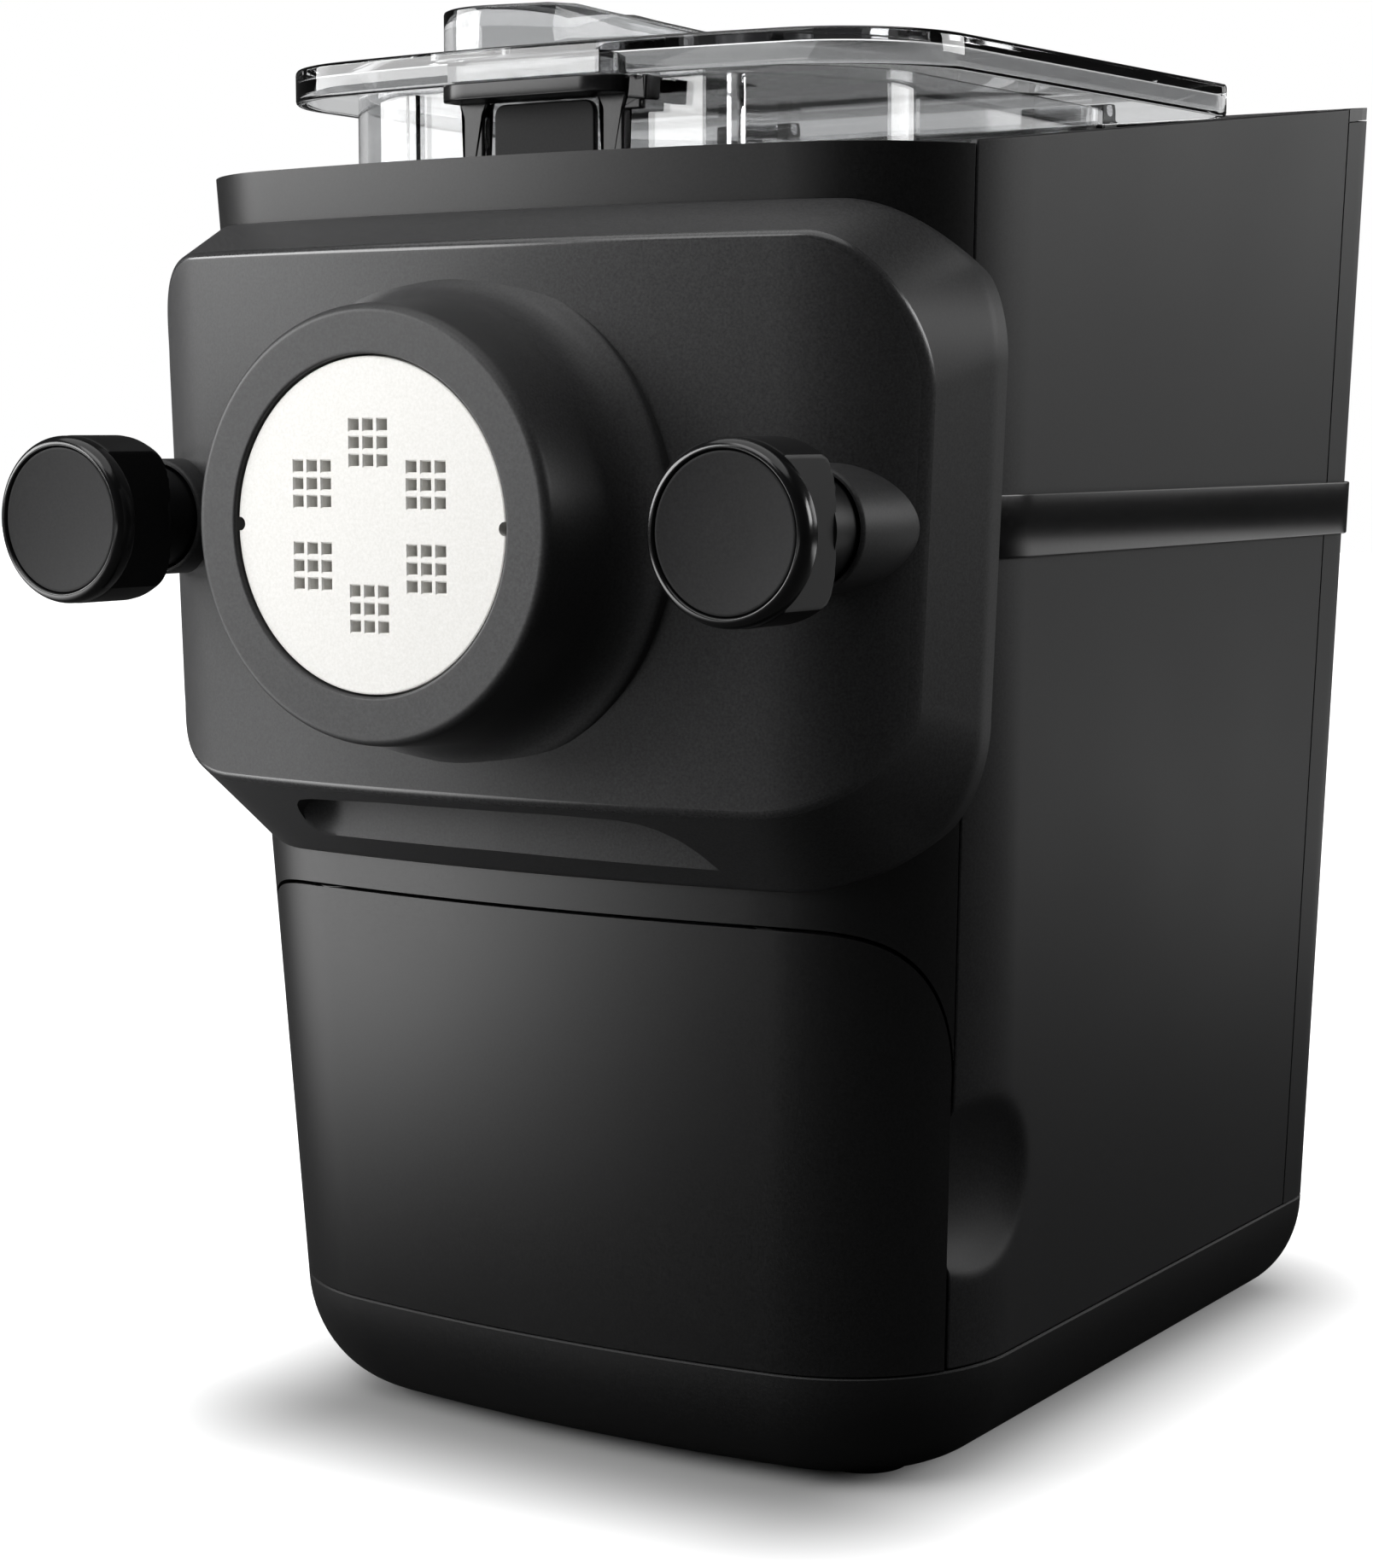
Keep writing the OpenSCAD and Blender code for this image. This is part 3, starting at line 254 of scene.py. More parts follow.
def plain_shader(name, **sockets):
    """New material with constants on the shader's sockets; returns it, its tree, shader and coordinates."""
    made = bpy.data.materials.new(name)
    made.use_nodes = True
    tree = made.node_tree
    shader = tree.nodes["Principled BSDF"]
    feed(tree, shader, **sockets)
    return made, tree, shader, chain(tree, "TexCoord").outputs["Object"]


def grained(name, dark, light, smooth, matt, size=1500.0, depth=0.02, gloss=0.5, **sockets):
    """Moulded plastic with the mould grain, between two colours and two roughnesses."""
    made, tree, shader, place = plain_shader(name, Specular_IOR_Level=gloss, **sockets)
    grain = chain(tree, "Group", {"node_tree": GRAIN}, Vector=place, Size=size, Dark=(*dark, 1),
                  Light=(*light, 1), Smooth=smooth, Matt=matt)
    bump = chain(tree, "Bump", Strength=0.35, Distance=depth * MM, Height=grain.outputs["Height"])
    feed(tree, shader, Base_Color=grain, Roughness=grain.outputs["Roughness"], Normal=bump)
    return made


base_black = grained("base_black_abs", (0.003, 0.003, 0.0032), (0.008, 0.008, 0.0083), 0.42, 0.56, gloss=0.4)


def around(z, inset, count=360):
    """Closed ring of the whole plan at one height, its points spread evenly by length."""
    total = half_length(z, inset)
    d = np.arange(count) / count * 2 * total
    x, y = outline(np.where(d <= total, d, d - 2 * total), z, inset)
    return np.stack([x, y, np.full(count, float(z))], -1)


# the round edge is a quarter ellipse: 26 mm in and 30.5 mm up; the wall is 2.6 mm and open at the top
swell = np.radians(np.linspace(0, 90, 19))
base_rings = [around(0.5 + (BASE_H - 2.5) * (1 - math.cos(a)), 26 * (1 - math.sin(a))) for a in swell]
base_rings += [around(BASE_H - 0.5, 0), around(BASE_H, 0.5), around(BASE_H, 2.2)]
base_rings += [around(BASE_H - 3, 2.6), around(BASE_H - 14, 4.5), around(9, 14), around(6, 30)]
loft("base_shell", base_rings, "frame", base_black, hides=["base_tray"], slot="base_black")

# ---- rubber feet, load cells, screws, chassis and runners ---------------
# What carries the machine inside: soft feet on aluminium load cells that weigh
# the flour, the moulded inner frame screwed to the base, and the drawer rails.
rubber = grained("foot_rubber", (0.012, 0.012, 0.012), (0.022, 0.022, 0.022), 0.75, 0.9, size=900,
                 depth=0.03)
inner_plastic = grained("inner_plastic", (0.060, 0.060, 0.063), (0.085, 0.085, 0.088), 0.45, 0.62)


def machined(name, colour, low, high, along):
    """Metal with fine streaks along one direction: noise stretched by a Mapping node drives roughness."""
    made, tree, shader, place = plain_shader(name, Metallic=1.0, Base_Color=(*colour, 1))
    turned = chain(tree, "Mapping", Vector=place, Scale=along)
    streak = chain(tree, "TexNoise", Vector=turned, Scale=120.0, Detail=4.0)
    spread = chain(tree, "MapRange", Value=streak, From_Min=0.3, From_Max=0.7, To_Min=low, To_Max=high)
    bump = chain(tree, "Bump", Strength=0.2, Distance=0.02 * MM, Height=streak)
    feed(tree, shader, Roughness=spread, Normal=bump)
    return made


aluminium = machined("cell_aluminium", (0.72, 0.72, 0.73), 0.25, 0.42, (1, 40, 1))
steel = machined("plain_steel", (0.56, 0.56, 0.57), 0.18, 0.36, (1, 1, 30))
brass = machined("bearing_brass", (0.70, 0.53, 0.26), 0.2, 0.4, (1, 30, 1))


def paint(material, *nodes):
    """Gives the material to modelled parts whose shape stays as it is."""
    for node in nodes:
        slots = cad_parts[node].data.materials
        slots.clear()
        slots.append(material)


paint(rubber, "rubber_feet")
paint(aluminium, "load_cells")
paint(steel, "housing_screws")
paint(inner_plastic, "chassis", "drawer_runners")

# ---- storage drawer ----------------------------------------------------
# The lower front of the body, moulded in charcoal ABS with a fine grain, its
# upper corners swept round; it carries the open tray and slides on the rails.
charcoal = grained("charcoal_abs", (0.002, 0.002, 0.0021), (0.007, 0.007, 0.0073), 0.31, 0.43, gloss=0.45)
DRAWER_TOP, CORNER_Y, CORNER_Z, SEAM_BACK, SEAM_LEAN = 150.0, 30.0, 42.0, 34.3, 0.0528
SWEEP_Z = DRAWER_TOP - CORNER_Z


def seam_y(z):
    """The side seam's place, leaning with height, where the front mouldings end."""
    return Y_FRONT + SEAM_BACK + SEAM_LEAN * (RIM_H - z)


def drawer_edge(z, grow=0.0):
    """y of the drawer front's side edge: the seam, then a quarter ellipse that sweeps forward to the top."""
    rise = np.clip((z - SWEEP_Z - grow) / CORNER_Z, 0, 1)
    return seam_y(np.minimum(z, SWEEP_Z)) - CORNER_Y * (1 - np.sqrt(1 - rise ** 2)) + grow


rows = np.concatenate([np.linspace(BASE_H + GAP, SWEEP_Z, 34)[:-1],
                       SWEEP_Z + (CORNER_Z - GAP) * np.sin(np.radians(np.linspace(0, 90, 40)))])
reach = distance_at(drawer_edge(rows, -GAP), rows)
across = np.linspace(-1, 1, 121)
x, y = outline(reach[:, None] * across, rows[:, None])
shell("drawer_front", np.stack([x, y, np.broadcast_to(rows[:, None], x.shape)], -1), "drawer", charcoal,
      moulded(3, 0.45), hides=["storage_drawer"])

# the tray behind is an open box: rounded rectangles go up the outside, over the rim and down inside
TRAY_X, TRAY_Y, TRAY_Z, TRAY_WALL, TRAY_CORNER = 79.5, (-93, 75.7), (38, 140), 2.5, 6.0


def tray_ring(z, inset):
    """The tray's plan at one height, drawn in by inset."""
    c = max(TRAY_CORNER - inset, 0.6)
    x, front, back = TRAY_X - inset - c, TRAY_Y[0] + inset + c, TRAY_Y[1] - inset - c
    ring = []
    for k, (cx, cy) in enumerate(((x, back), (-x, back), (-x, front), (x, front))):
        a = np.radians(np.linspace(0, 90, 12) + 90 * k)
        ring.append(np.stack([cx + c * np.cos(a), cy + c * np.sin(a), np.full(12, float(z))], -1))
    return np.vstack(ring)


(z0, z1), t = TRAY_Z, TRAY_WALL
loft("drawer_tray", [tray_ring(*step) for step in (
    (z0, 3), (z0 + 0.8, 0.8), (z0 + 3, 0), (z1 - 0.5, 0), (z1, 0.5), (z1, t - 0.5), (z1 - 0.5, t),
    (z0 + t + 2, t), (z0 + t, t + 2.5))], "drawer", inner_plastic, slot="charcoal_plastic")

# ---- front housing -----------------------------------------------------
# The fixed front of the body behind the front panel, in the same charcoal ABS;
# it fills what the drawer leaves, from the swept corners up to the rim.
u = np.linspace(0, 1, 90)
flat = 0.65
turn = np.radians(7.5 + np.clip((1 - u) / (1 - flat), 0, 1) * 82.5)
z_low = np.where(u < flat, DRAWER_TOP + GAP, SWEEP_Z + (CORNER_Z + GAP) * np.sin(turn))
y_corner = seam_y(SWEEP_Z) - CORNER_Y
d_low = np.where(u < flat, u / flat * distance_at(y_corner, DRAWER_TOP),
                 distance_at(y_corner + CORNER_Y * np.cos(turn), z_low))
share = np.minimum(d_low / distance_at(seam_y(z_low), z_low), 1)
v = np.linspace(0, 1, 60)[:, None]
z = z_low + v * (RIM_H - z_low)
x, y = outline((share + v * (u - share)) * distance_at(seam_y(z), z), z)
right = np.stack([x, y, z], -1)
left = right[:, :0:-1] * (-1, 1, 1)
shell("front_housing_shell", np.concatenate([left, right], 1), "frame", charcoal, moulded(WALL, 0.55),
      hides=["front_housing"])

# ---- side panels -------------------------------------------------------
# Two mirrored covers in charcoal ABS, clipped between the front housing and the
# rear cover, each with a finger dent beside the drawer.
side_charcoal = grained("side_charcoal_abs", (0.010, 0.010, 0.0105), (0.024, 0.024, 0.025), 0.42, 0.56,
                        gloss=0.35)
DENT_Z, DENT_R, DENT_D, SEAM_Y = 81.0, 23.0, 8.0, 141.0


def rim_z(y):
    """Height of the rim: level at the front, rising to the back."""
    return RIM_H + RIM_SLOPE * np.maximum(0, y - Y_KINK)


u = np.concatenate([np.linspace(0, 0.26, 60)[:-1], np.linspace(0.26, 1, 60)])
v = np.concatenate([np.linspace(0, 0.3, 70)[:-1], np.linspace(0.3, 1, 60)])[:, None]
y_top = seam_y(RIM_H) + GAP + u * (SEAM_Y - seam_y(RIM_H) - GAP)
z = BASE_H + GAP + v * (rim_z(y_top) - BASE_H - GAP)
y = seam_y(z) + GAP + u * (SEAM_Y - seam_y(z) - GAP)
x = outline(distance_at(y, z), z)[0]
ball = (DENT_R ** 2 + DENT_D ** 2) / (2 * DENT_D)
off = np.hypot(y - seam_y(DENT_Z) - 9, z - DENT_Z)
dish = np.sqrt(np.maximum(ball ** 2 - off ** 2, 0)) - (ball - DENT_D)
dish = 0.5 * (dish + np.sqrt(dish ** 2 + 0.9 ** 2)) * np.clip((DENT_R * 1.35 - off) / (DENT_R * 0.35), 0, 1)
side = np.stack([x - dish, y, z], -1)
for hand, way in (("right", 1), ("left", -1)):
    shell(f"side_cover_{hand}", side * (way, 1, 1), "frame", side_charcoal, moulded(WALL, 0.5),
          hides=[f"side_panel_{hand}"])

# ---- rear cover and cord gland -----------------------------------------
# One wrap-round moulding over the motor, with two rows of vent slots, and the
# rubber gland that holds the mains lead.
def round_back(z, y_start, count, inset=0.0):
    """Plan line from y_start on the right round the back to the left, in even steps of length."""
    first, total = distance_at(y_start, z, inset), half_length(z, inset)
    d = first + np.linspace(0, 1, count) * 2 * (total - first)
    return outline(np.where(d <= total, d, d - 2 * total), z, inset)


y_guess = round_back(RIM_H + 20, SEAM_Y + GAP, 200)[1]
z = BASE_H + GAP + np.linspace(0, 1, 40)[:, None] * (rim_z(y_guess) - 4.0 - BASE_H - GAP)
x, y = round_back(z, SEAM_Y + GAP, 200)
rear_wall = [("SOLIDIFY", {"thickness": WALL * MM, "offset": -1, "use_even_offset": True})]
rear = shell("rear_shell", np.stack([x, y, z], -1), "frame", side_charcoal, rear_wall, hides=["rear_cover"])


def cut(piece, prisms):
    """Cuts prisms out of the piece and keeps the result as its mesh; each prism is a stack of rings."""
    k, m, n = prisms.shape[:3]
    mesh = bpy.data.meshes.new("cutter")
    faces = [face for base in range(0, k * m * n, m * n) for face in capped(m, n, base)]
    mesh.from_pydata((prisms.reshape(-1, 3) * MM).tolist(), [], faces)
    turn_outwards(mesh, weld=False)
    tool = bpy.data.objects.new("cutter", mesh)
    bpy.context.scene.collection.objects.link(tool)
    add_steps(piece, [("BOOLEAN", {"operation": "DIFFERENCE", "object": tool, "solver": "EXACT"})])
    bpy.context.view_layer.update()
    piece_now = piece.evaluated_get(bpy.context.evaluated_depsgraph_get())
    piece.data = bpy.data.meshes.new_from_object(piece_now)
    piece.modifiers.clear()
    bpy.data.objects.remove(tool)
    smoothed(piece.data)


# each vent is a slot with half-round ends, carried through the wall
VENT_W, VENT_H, VENT_PITCH, VENT_ROW, VENT_Z = 3.2, 34, 9.0, 42, BASE_H + 77
a = np.radians(np.linspace(0, 180, 9))
end = np.stack([VENT_W / 2 * np.cos(a), 0 * a, (VENT_H - VENT_W) / 2 + VENT_W / 2 * np.sin(a)], -1)
vent = np.concatenate([end, -end])
cut(rear, np.array([[vent + (i * VENT_PITCH, y, VENT_Z + row * VENT_ROW) for y in (160, 180)]
                    for row in (0, 1) for i in range(-7, 8)]))
add_steps(rear, moulded(WALL, 0.35, 2)[1:])
paint(rubber, "cord_gland")

# ---- trim band ---------------------------------------------------------
# A thin glossy black strip that runs round the sides and the back at the
# height of the extrusion barrel, standing 1.5 mm proud of the covers.
gloss_black = grained("gloss_black", (0.004, 0.004, 0.0045), (0.006, 0.006, 0.0065), 0.05, 0.11,
                      size=60, depth=0.004, Coat_Weight=0.6, Coat_Roughness=0.03)
BAND_LOW, BAND_HIGH, BAND_START = AXIS_H - 8.7, AXIS_H + 7.3, -81.4
edge_roll = [(0.05, 0.05), (0.1, 1.1), (0.25, 1.4), (0.6, 1.5)]
section = [(BAND_LOW + rise, proud) for rise, proud in edge_roll]
section += [(BAND_HIGH - rise, proud) for rise, proud in edge_roll[::-1]]
strip = np.array([np.stack([*round_back(z, BAND_START, 420, -proud), np.full(420, z)], -1)
                  for z, proud in section])
band_satin = grained("band_satin", (0.004, 0.004, 0.0042), (0.008, 0.008, 0.0083), 0.16, 0.22, size=600,
                     depth=0.0, gloss=0.25)
loft("trim_strip", np.swapaxes(strip, 0, 1), "frame", band_satin, hides=["trim_band"], slot="gloss_black")

# ---- top deck ----------------------------------------------------------
# The charcoal frame round the chamber's mouth, just below the rim, with the
# strip that caps the rear cover and the round lugs that hold the lid's pins.
paint(charcoal, "top_deck")


def turned(name, profile, x, z, body, material, count=128, about="y", **rest):
    """Turned part: a profile of (distance along the axis, radius) spun about a line along y or x through
    (x, z), or along z through (x, y)."""
    profile = np.asarray(profile, float)
    a = np.arange(count) / count * 2 * np.pi
    s, r = profile[:, 0][:, None], profile[:, 1][:, None]
    c, d, e = r * np.cos(a), r * np.sin(a), s + 0 * a
    rings = {"y": (x + c, e, z + d), "x": (e, x + c, z + d), "z": (x + c, z + d, e)}[about]
    return loft(name, np.stack(rings, -1), body, material, **rest)

# ---- control panel, window, buttons and their board ---------------------
# A gloss black plate behind the chamber with a smoked display window and four
# press keys; a lacquered circuit board sits below it.
paint(gloss_black, "control_panel")
window_glass, tree, shader, place = plain_shader(
    "smoked_window", Base_Color=(0.02, 0.022, 0.025, 1), Coat_Weight=1.0, Coat_Roughness=0.02, IOR=1.5)
haze = chain(tree, "TexNoise", Vector=place, Scale=180.0)
feed(tree, shader, Roughness=chain(tree, "MapRange", Value=haze, To_Min=0.05, To_Max=0.10))
paint(window_glass, "display_window")
key_plastic = grained("key_plastic", (0.045, 0.045, 0.048), (0.06, 0.06, 0.063), 0.22, 0.32, size=500,
                      depth=0.006)
printed = grained("printed_grey", (0.40, 0.40, 0.41), (0.46, 0.46, 0.47), 0.45, 0.6, size=900, depth=0.004)
deck_tilt = math.atan(RIM_SLOPE)
KEY_PITCH, KEYS_Y = 40, 148 - Y_KINK


def on_deck(points):
    """Moves points given as (across, along the deck, above it) onto the sloping deck."""
    p = np.asarray(points, float)
    s, c = math.sin(deck_tilt), math.cos(deck_tilt)
    return np.stack([p[..., 0], Y_KINK + p[..., 1] * c - p[..., 2] * s,
                     RIM_H - 1.5 + p[..., 1] * s + p[..., 2] * c], -1)


spin = np.arange(64) / 64 * 2 * np.pi
crown = [(-3.6, 3.0), (-1.5, 3.0), (-1.5, 7.4), (-1.2, 8.0), (1.0, 8.0), (1.55, 7.7), (1.8, 7.1), (1.75, 5.0),
         (1.6, 2.5)]
for index, key in enumerate(("power", "program", "weight", "start")):
    x = (index - 1.5) * KEY_PITCH
    rings = [np.stack([x + r * np.cos(spin), KEYS_Y + r * np.sin(spin), 0 * spin + h], -1) for h, r in crown]
    loft(f"key_{key}", on_deck(rings), f"{key}_key", key_plastic, hides=[f"button_{key}"],
         slot="button_plastic")


def arc(y, r, start, end):
    """Points on a circle about (0, y) from one angle to another, in degrees."""
    a = np.radians(np.linspace(start, end, 24))
    return np.stack([r * np.cos(a), y + r * np.sin(a)], -1)


def line(x0, y0, x1, y1, count=4):
    """Straight run of points."""
    return np.linspace((x0, y0), (x1, y1), count)


# each sign's lines are flat bands, 0.6 mm wide, that stand just above the key and reach down into it
LINE_W, LINE_TOP, LINE_FOOT = 0.6, 1.83, -0.15
signs = {
    "power": [arc(0, 3, 125, 415), line(0, 0.6, 0, 3.8)],
    "program": [line(-3, 2.2, 3, 2.2), line(-3, 0, 3, 0), line(-3, -2.2, 3, -2.2)],
    "weight": [line(-3.2, -2.6, 3.2, -2.6), arc(-2.6, 4.2, 25, 155), line(0, -2.4, 1.6, 0.6)],
    "start": [line(-1.8, -2.8, -1.8, 2.8, 3), line(-1.8, 2.8, 3, 0), line(3, 0, -1.8, -2.8)]}
for index, (key, paths) in enumerate(signs.items()):
    points, faces = np.zeros((0, 3)), []
    for path in paths:
        p = path + ((index - 1.5) * KEY_PITCH, KEYS_Y)
        t = np.gradient(p, axis=0)
        side = LINE_W / 2 * np.stack([-t[:, 1], t[:, 0]], -1) / np.linalg.norm(t, axis=1, keepdims=True)
        block = [np.insert(edge, 2, h, axis=1) for edge, h in (
            (p - side, LINE_TOP), (p + side, LINE_TOP), (p + side, LINE_FOOT), (p - side, LINE_FOOT))]
        faces += capped(len(p), 4, len(points))
        points = np.vstack([points, on_deck(np.stack(block, 1)).reshape(-1, 3)])
    finished(f"sign_{key}", points, faces, f"{key}_key", printed, sharp=50)

# lacquered board: straight traces from a brick pattern over the green, with bright pads
board, tree, shader, place = plain_shader("circuit_board", Coat_Weight=0.4, Coat_Roughness=0.2)
tracks = chain(tree, "TexBrick", Vector=place, Scale=160.0, Color1=(0.015, 0.09, 0.035, 1),
               Color2=(0.0195, 0.1125, 0.042, 1), Mortar=(0.10, 0.24, 0.10, 1), Mortar_Size=0.03)
pads = chain(tree, "TexVoronoi", Vector=place, Scale=240.0)
spread = chain(tree, "MapRange", Value=pads, From_Max=0.6, To_Min=0.25, To_Max=0.5)
feed(tree, shader, Base_Color=tracks, Roughness=spread)
paint(board, "control_board", "power_board")

# ---- mixing chamber, seal, paddle, screw, shaft and barrel ---------------
# The clear smoked bowl that stands in the deck, the paddle that kneads in it,
# and the grey screw and barrel that push the dough out to the front.
def clear_plastic(name, tint, low, high):
    """Clear moulded plastic: the tint and the clarity drift a little across the part."""
    made, tree, shader, place = plain_shader(name, Transmission_Weight=1.0, IOR=1.49)
    flow = chain(tree, "TexNoise", Vector=place, Scale=14.0, Detail=2.0)
    spread = chain(tree, "MapRange", Value=flow, From_Min=0.3, From_Max=0.7, To_Min=low, To_Max=high)
    shade = chain(tree, "Mix", {"data_type": "RGBA"}, _0=flow, _6=(*[t * 0.97 for t in tint], 1),
                  _7=(*tint, 1))
    feed(tree, shader, Base_Color=shade.outputs[2], Roughness=spread)
    return made


smoke = clear_plastic("smoke_clear", (0.66, 0.665, 0.67), 0.015, 0.04)
lid_clear = clear_plastic("lid_clear", (0.62, 0.625, 0.63), 0.01, 0.03)
silicone = grained("silicone_grey", (0.30, 0.30, 0.30), (0.36, 0.36, 0.36), 0.6, 0.75, size=700)
tube_grey = grained("tube_grey", (0.22, 0.22, 0.225), (0.27, 0.27, 0.275), 0.35, 0.5, size=1200)
paint(smoke, "mixing_chamber")
paint(silicone, "chamber_seal")
paint(tube_grey, "mixing_paddle", "extrusion_screw", "extrusion_tube")
paint(steel, "drive_shaft")

# ---- shaping disc ------------------------------------------------------
# A white moulded disc with six clusters of nine square holes, bevelled at the
# mouth, and two small notches that key it in the collar's ring.
disc_white = grained("disc_white", (0.72, 0.71, 0.68), (0.80, 0.79, 0.765), 0.30, 0.44, size=1300,
                     depth=0.012)
disc_profile = [(-163, 30.9), (-163, 44.1), (-163.4, 44.5), (-167.6, 44.5), (-168, 44.1), (-168, 40.7),
                (-173.5, 40.7), (-173.86, 40.56), (-174, 40.2), (-174, 12)]
disc = turned("disc", [(-163, 12)] + disc_profile, 0, AXIS_H, "panel", disc_white, count=192,
              hides=["shaping_disc"], slot="white_plastic")

# the 54 holes are squares, wider at the mouth, in three by three groups at 60-degree steps
HOLE_RING, HOLE_PITCH, NOTCH_X, NOTCH_R = 20, 4.3, 40.3, 1.7
groups = np.radians(30 + 60 * np.arange(6))
corners = np.array([(1, 1), (-1, 1), (-1, -1), (1, -1)])
steps = (-HOLE_PITCH, 0, HOLE_PITCH)
cut(disc, np.array([[np.column_stack([HOLE_RING * math.cos(g) + i + half * corners[:, 0], np.full(4, y),
                                      AXIS_H + HOLE_RING * math.sin(g) + k + half * corners[:, 1]])
                     for y, half in ((-174.3, 1.95), (-173.6, 1.3), (-162, 1.3))]
                    for g in groups for i in steps for k in steps]))
a = np.arange(24) / 24 * 2 * np.pi
cut(disc, np.array([[np.stack([x + NOTCH_R * np.cos(a), 0 * a + y, AXIS_H + NOTCH_R * np.sin(a)], -1)
                     for y in (-174.5, -171)] for x in (-NOTCH_X, NOTCH_X)]))
for face in disc.data.polygons:
    face.use_smooth = abs(face.normal.y) < 0.999

# ---- front panel -------------------------------------------------------
# The removable face that carries the barrel: one charcoal ABS moulding with a
# bowed face, a sloping skirt round it, bosses for the knobs and a grip below.
panel_charcoal = grained("panel_charcoal_abs", (0.022, 0.022, 0.0225), (0.044, 0.044, 0.045), 0.40, 0.52,
                         gloss=0.27)
HANDS = (("left", -1), ("right", 1))

PANEL_HALF, FACE_Y, FACE_R, FACE_CORNER = 122.7, -142, 400.0, 46.0


def panel_half(z):
    """Half the panel's width at a height."""
    return PANEL_HALF + SIDE_LEAN * (z - AXIS_H)


def panel_y(x, z):
    """The face's bow across the width, then a corner that turns towards the side from x 90.28 on."""
    x = np.minimum(np.abs(x) * 125.9 / panel_half(z), 125.85)
    return np.where(x < 90.28, FACE_Y + FACE_R - np.sqrt(FACE_R ** 2 - x ** 2),
                    -86.86 - np.sqrt(np.maximum(FACE_CORNER ** 2 - (x - 79.9) ** 2, 0)))


def panel_outline(inset, low, high, r_low, r_high):
    """Leaning rectangle with elliptical corners (width, height), from the middle of the top clockwise. Each
    side and each corner has a fixed count of points, so that two such rings pair up."""
    t = np.radians(np.linspace(0, 90, 51))
    (a, b), (c, d) = r_low, r_high
    w_low, w_high = panel_half(low + b) - inset, panel_half(high - d) - inset
    right = np.vstack([
        np.linspace((0, high), (w_high - c, high), 40)[:-1],
        np.stack([w_high - c + c * np.sin(t), high - d + d * np.cos(t)], -1),
        np.linspace((w_high, high - d), (w_low, low + b), 50)[1:-1],
        np.stack([w_low - a + a * np.cos(t), low + b - b * np.sin(t)], -1),
        np.linspace((w_low - a, low), (0, low), 91)[1:]])
    return np.vstack([right, (right * (-1, 1))[-2:0:-1]])


edge_2d = panel_outline(5.9, 182.0, 319.8, (33, 27), (24, 36))
rim_2d = panel_outline(0.3, 159.7, 329.0, (42, 44), (29.5, 38))
hole_2d = edge_2d - (0, AXIS_H)
hole_2d = hole_2d / np.linalg.norm(hole_2d, axis=1, keepdims=True) * 60 + (0, AXIS_H)


def on_face(p):
    """Lifts points (x, z) onto the bowed face."""
    return np.stack([p[:, 0], panel_y(p[:, 0], p[:, 1]), p[:, 1]], -1)


def rounded(a, corner, b, steps):
    """Fillet from a to b about a corner: a quadratic curve at each point of the ring."""
    return [(1 - s) ** 2 * a + 2 * s * (1 - s) * corner + s ** 2 * b for s in np.linspace(0, 1, steps)]


def body_face(x, z):
    """y of the body's front and corner at (x, z): the bow, then the 50 mm corner."""
    w, y0, y1, rb, rc, rr, yc, turn = plan_parts(z, 0)
    x = np.minimum(np.abs(x), w - 0.01)
    return np.where(x < rb * np.sin(turn), y0 + rb - np.sqrt(rb ** 2 - x ** 2),
                    yc - np.sqrt(np.maximum(rc ** 2 - (x - w + rc) ** 2, 0)))


def seated(stand, side):
    """The rim stands off the body's face by a distance, and round the corner goes over to a fixed y."""
    ahead_of = side - body_face(*rim_2d.T) + stand
    return np.column_stack([rim_2d[:, 0], side - 0.5 * (ahead_of + np.sqrt(ahead_of ** 2 + 9)), rim_2d[:, 1]])


outer_rim = seated(np.where(rim_2d[:, 1] > AXIS_H, 2.1, 2.9), -86.5)
edge = on_face(edge_2d)
spoke = np.linalg.norm(hole_2d - edge_2d, axis=1, keepdims=True)
inner_2d = edge_2d + (hole_2d - edge_2d) / spoke * 1.4
near_2d = edge_2d + (hole_2d - edge_2d) / spoke * 2.1
rings = [on_face(hole_2d + (near_2d - hole_2d) * s) for s in np.linspace(0, 1, 20)]
drop = outer_rim - edge
length = np.linalg.norm(drop, axis=1)
rings += rounded(on_face(inner_2d), edge, edge + drop * (1.4 / length)[:, None], 6)
rings.append(edge + drop * (1.9 / length)[:, None])

# the grip is a pocket in the lower skirt: the skirt stops at a sharp line, a vertical wall stands
# further back and comes down to the lower lip; its left end is round, its right end runs to a point
mid = (edge[:, 0] + outer_rim[:, 0]) / 2
below = (edge_2d[:, 1] < 182.5) & (np.abs(mid) < 80)
lip_top = np.interp(mid, *zip(
    (-80, 177), (-63.6, 169.2), (-63.2, 171), (-62.2, 173.2), (-60.5, 175.2), (-57.4, 176.9), (-52, 177.6),
    (-25, 178.7), (3, 179), (28.7, 179.1), (44.3, 178.7), (50, 177.9), (53.6, 176.7), (58.4, 173.7),
    (61.8, 169.8), (64, 165.7), (80, 177)))
lip_low = np.interp(mid, *zip(
    (-80, 166.3), (-63.6, 168.6), (-63, 167.2), (-61.4, 166.3), (-57, 166.2), (0, 166.4), (64, 165.4),
    (80, 166.3)))
s_top = np.where(below, (182 - lip_top) / 22.3, 0.224)
s_low = np.where(below, (182 - lip_low) / 22.3, 0.704)
pull = np.where(below & (mid < 64), np.sin(np.clip((mid + 63.5) / 11, 0, 1) * np.pi / 2), 0)
s_in = s_top + np.where(pull > 0, 0.002, 0.03)
y_lip = edge[:, 1] + drop[:, 1] * s_low
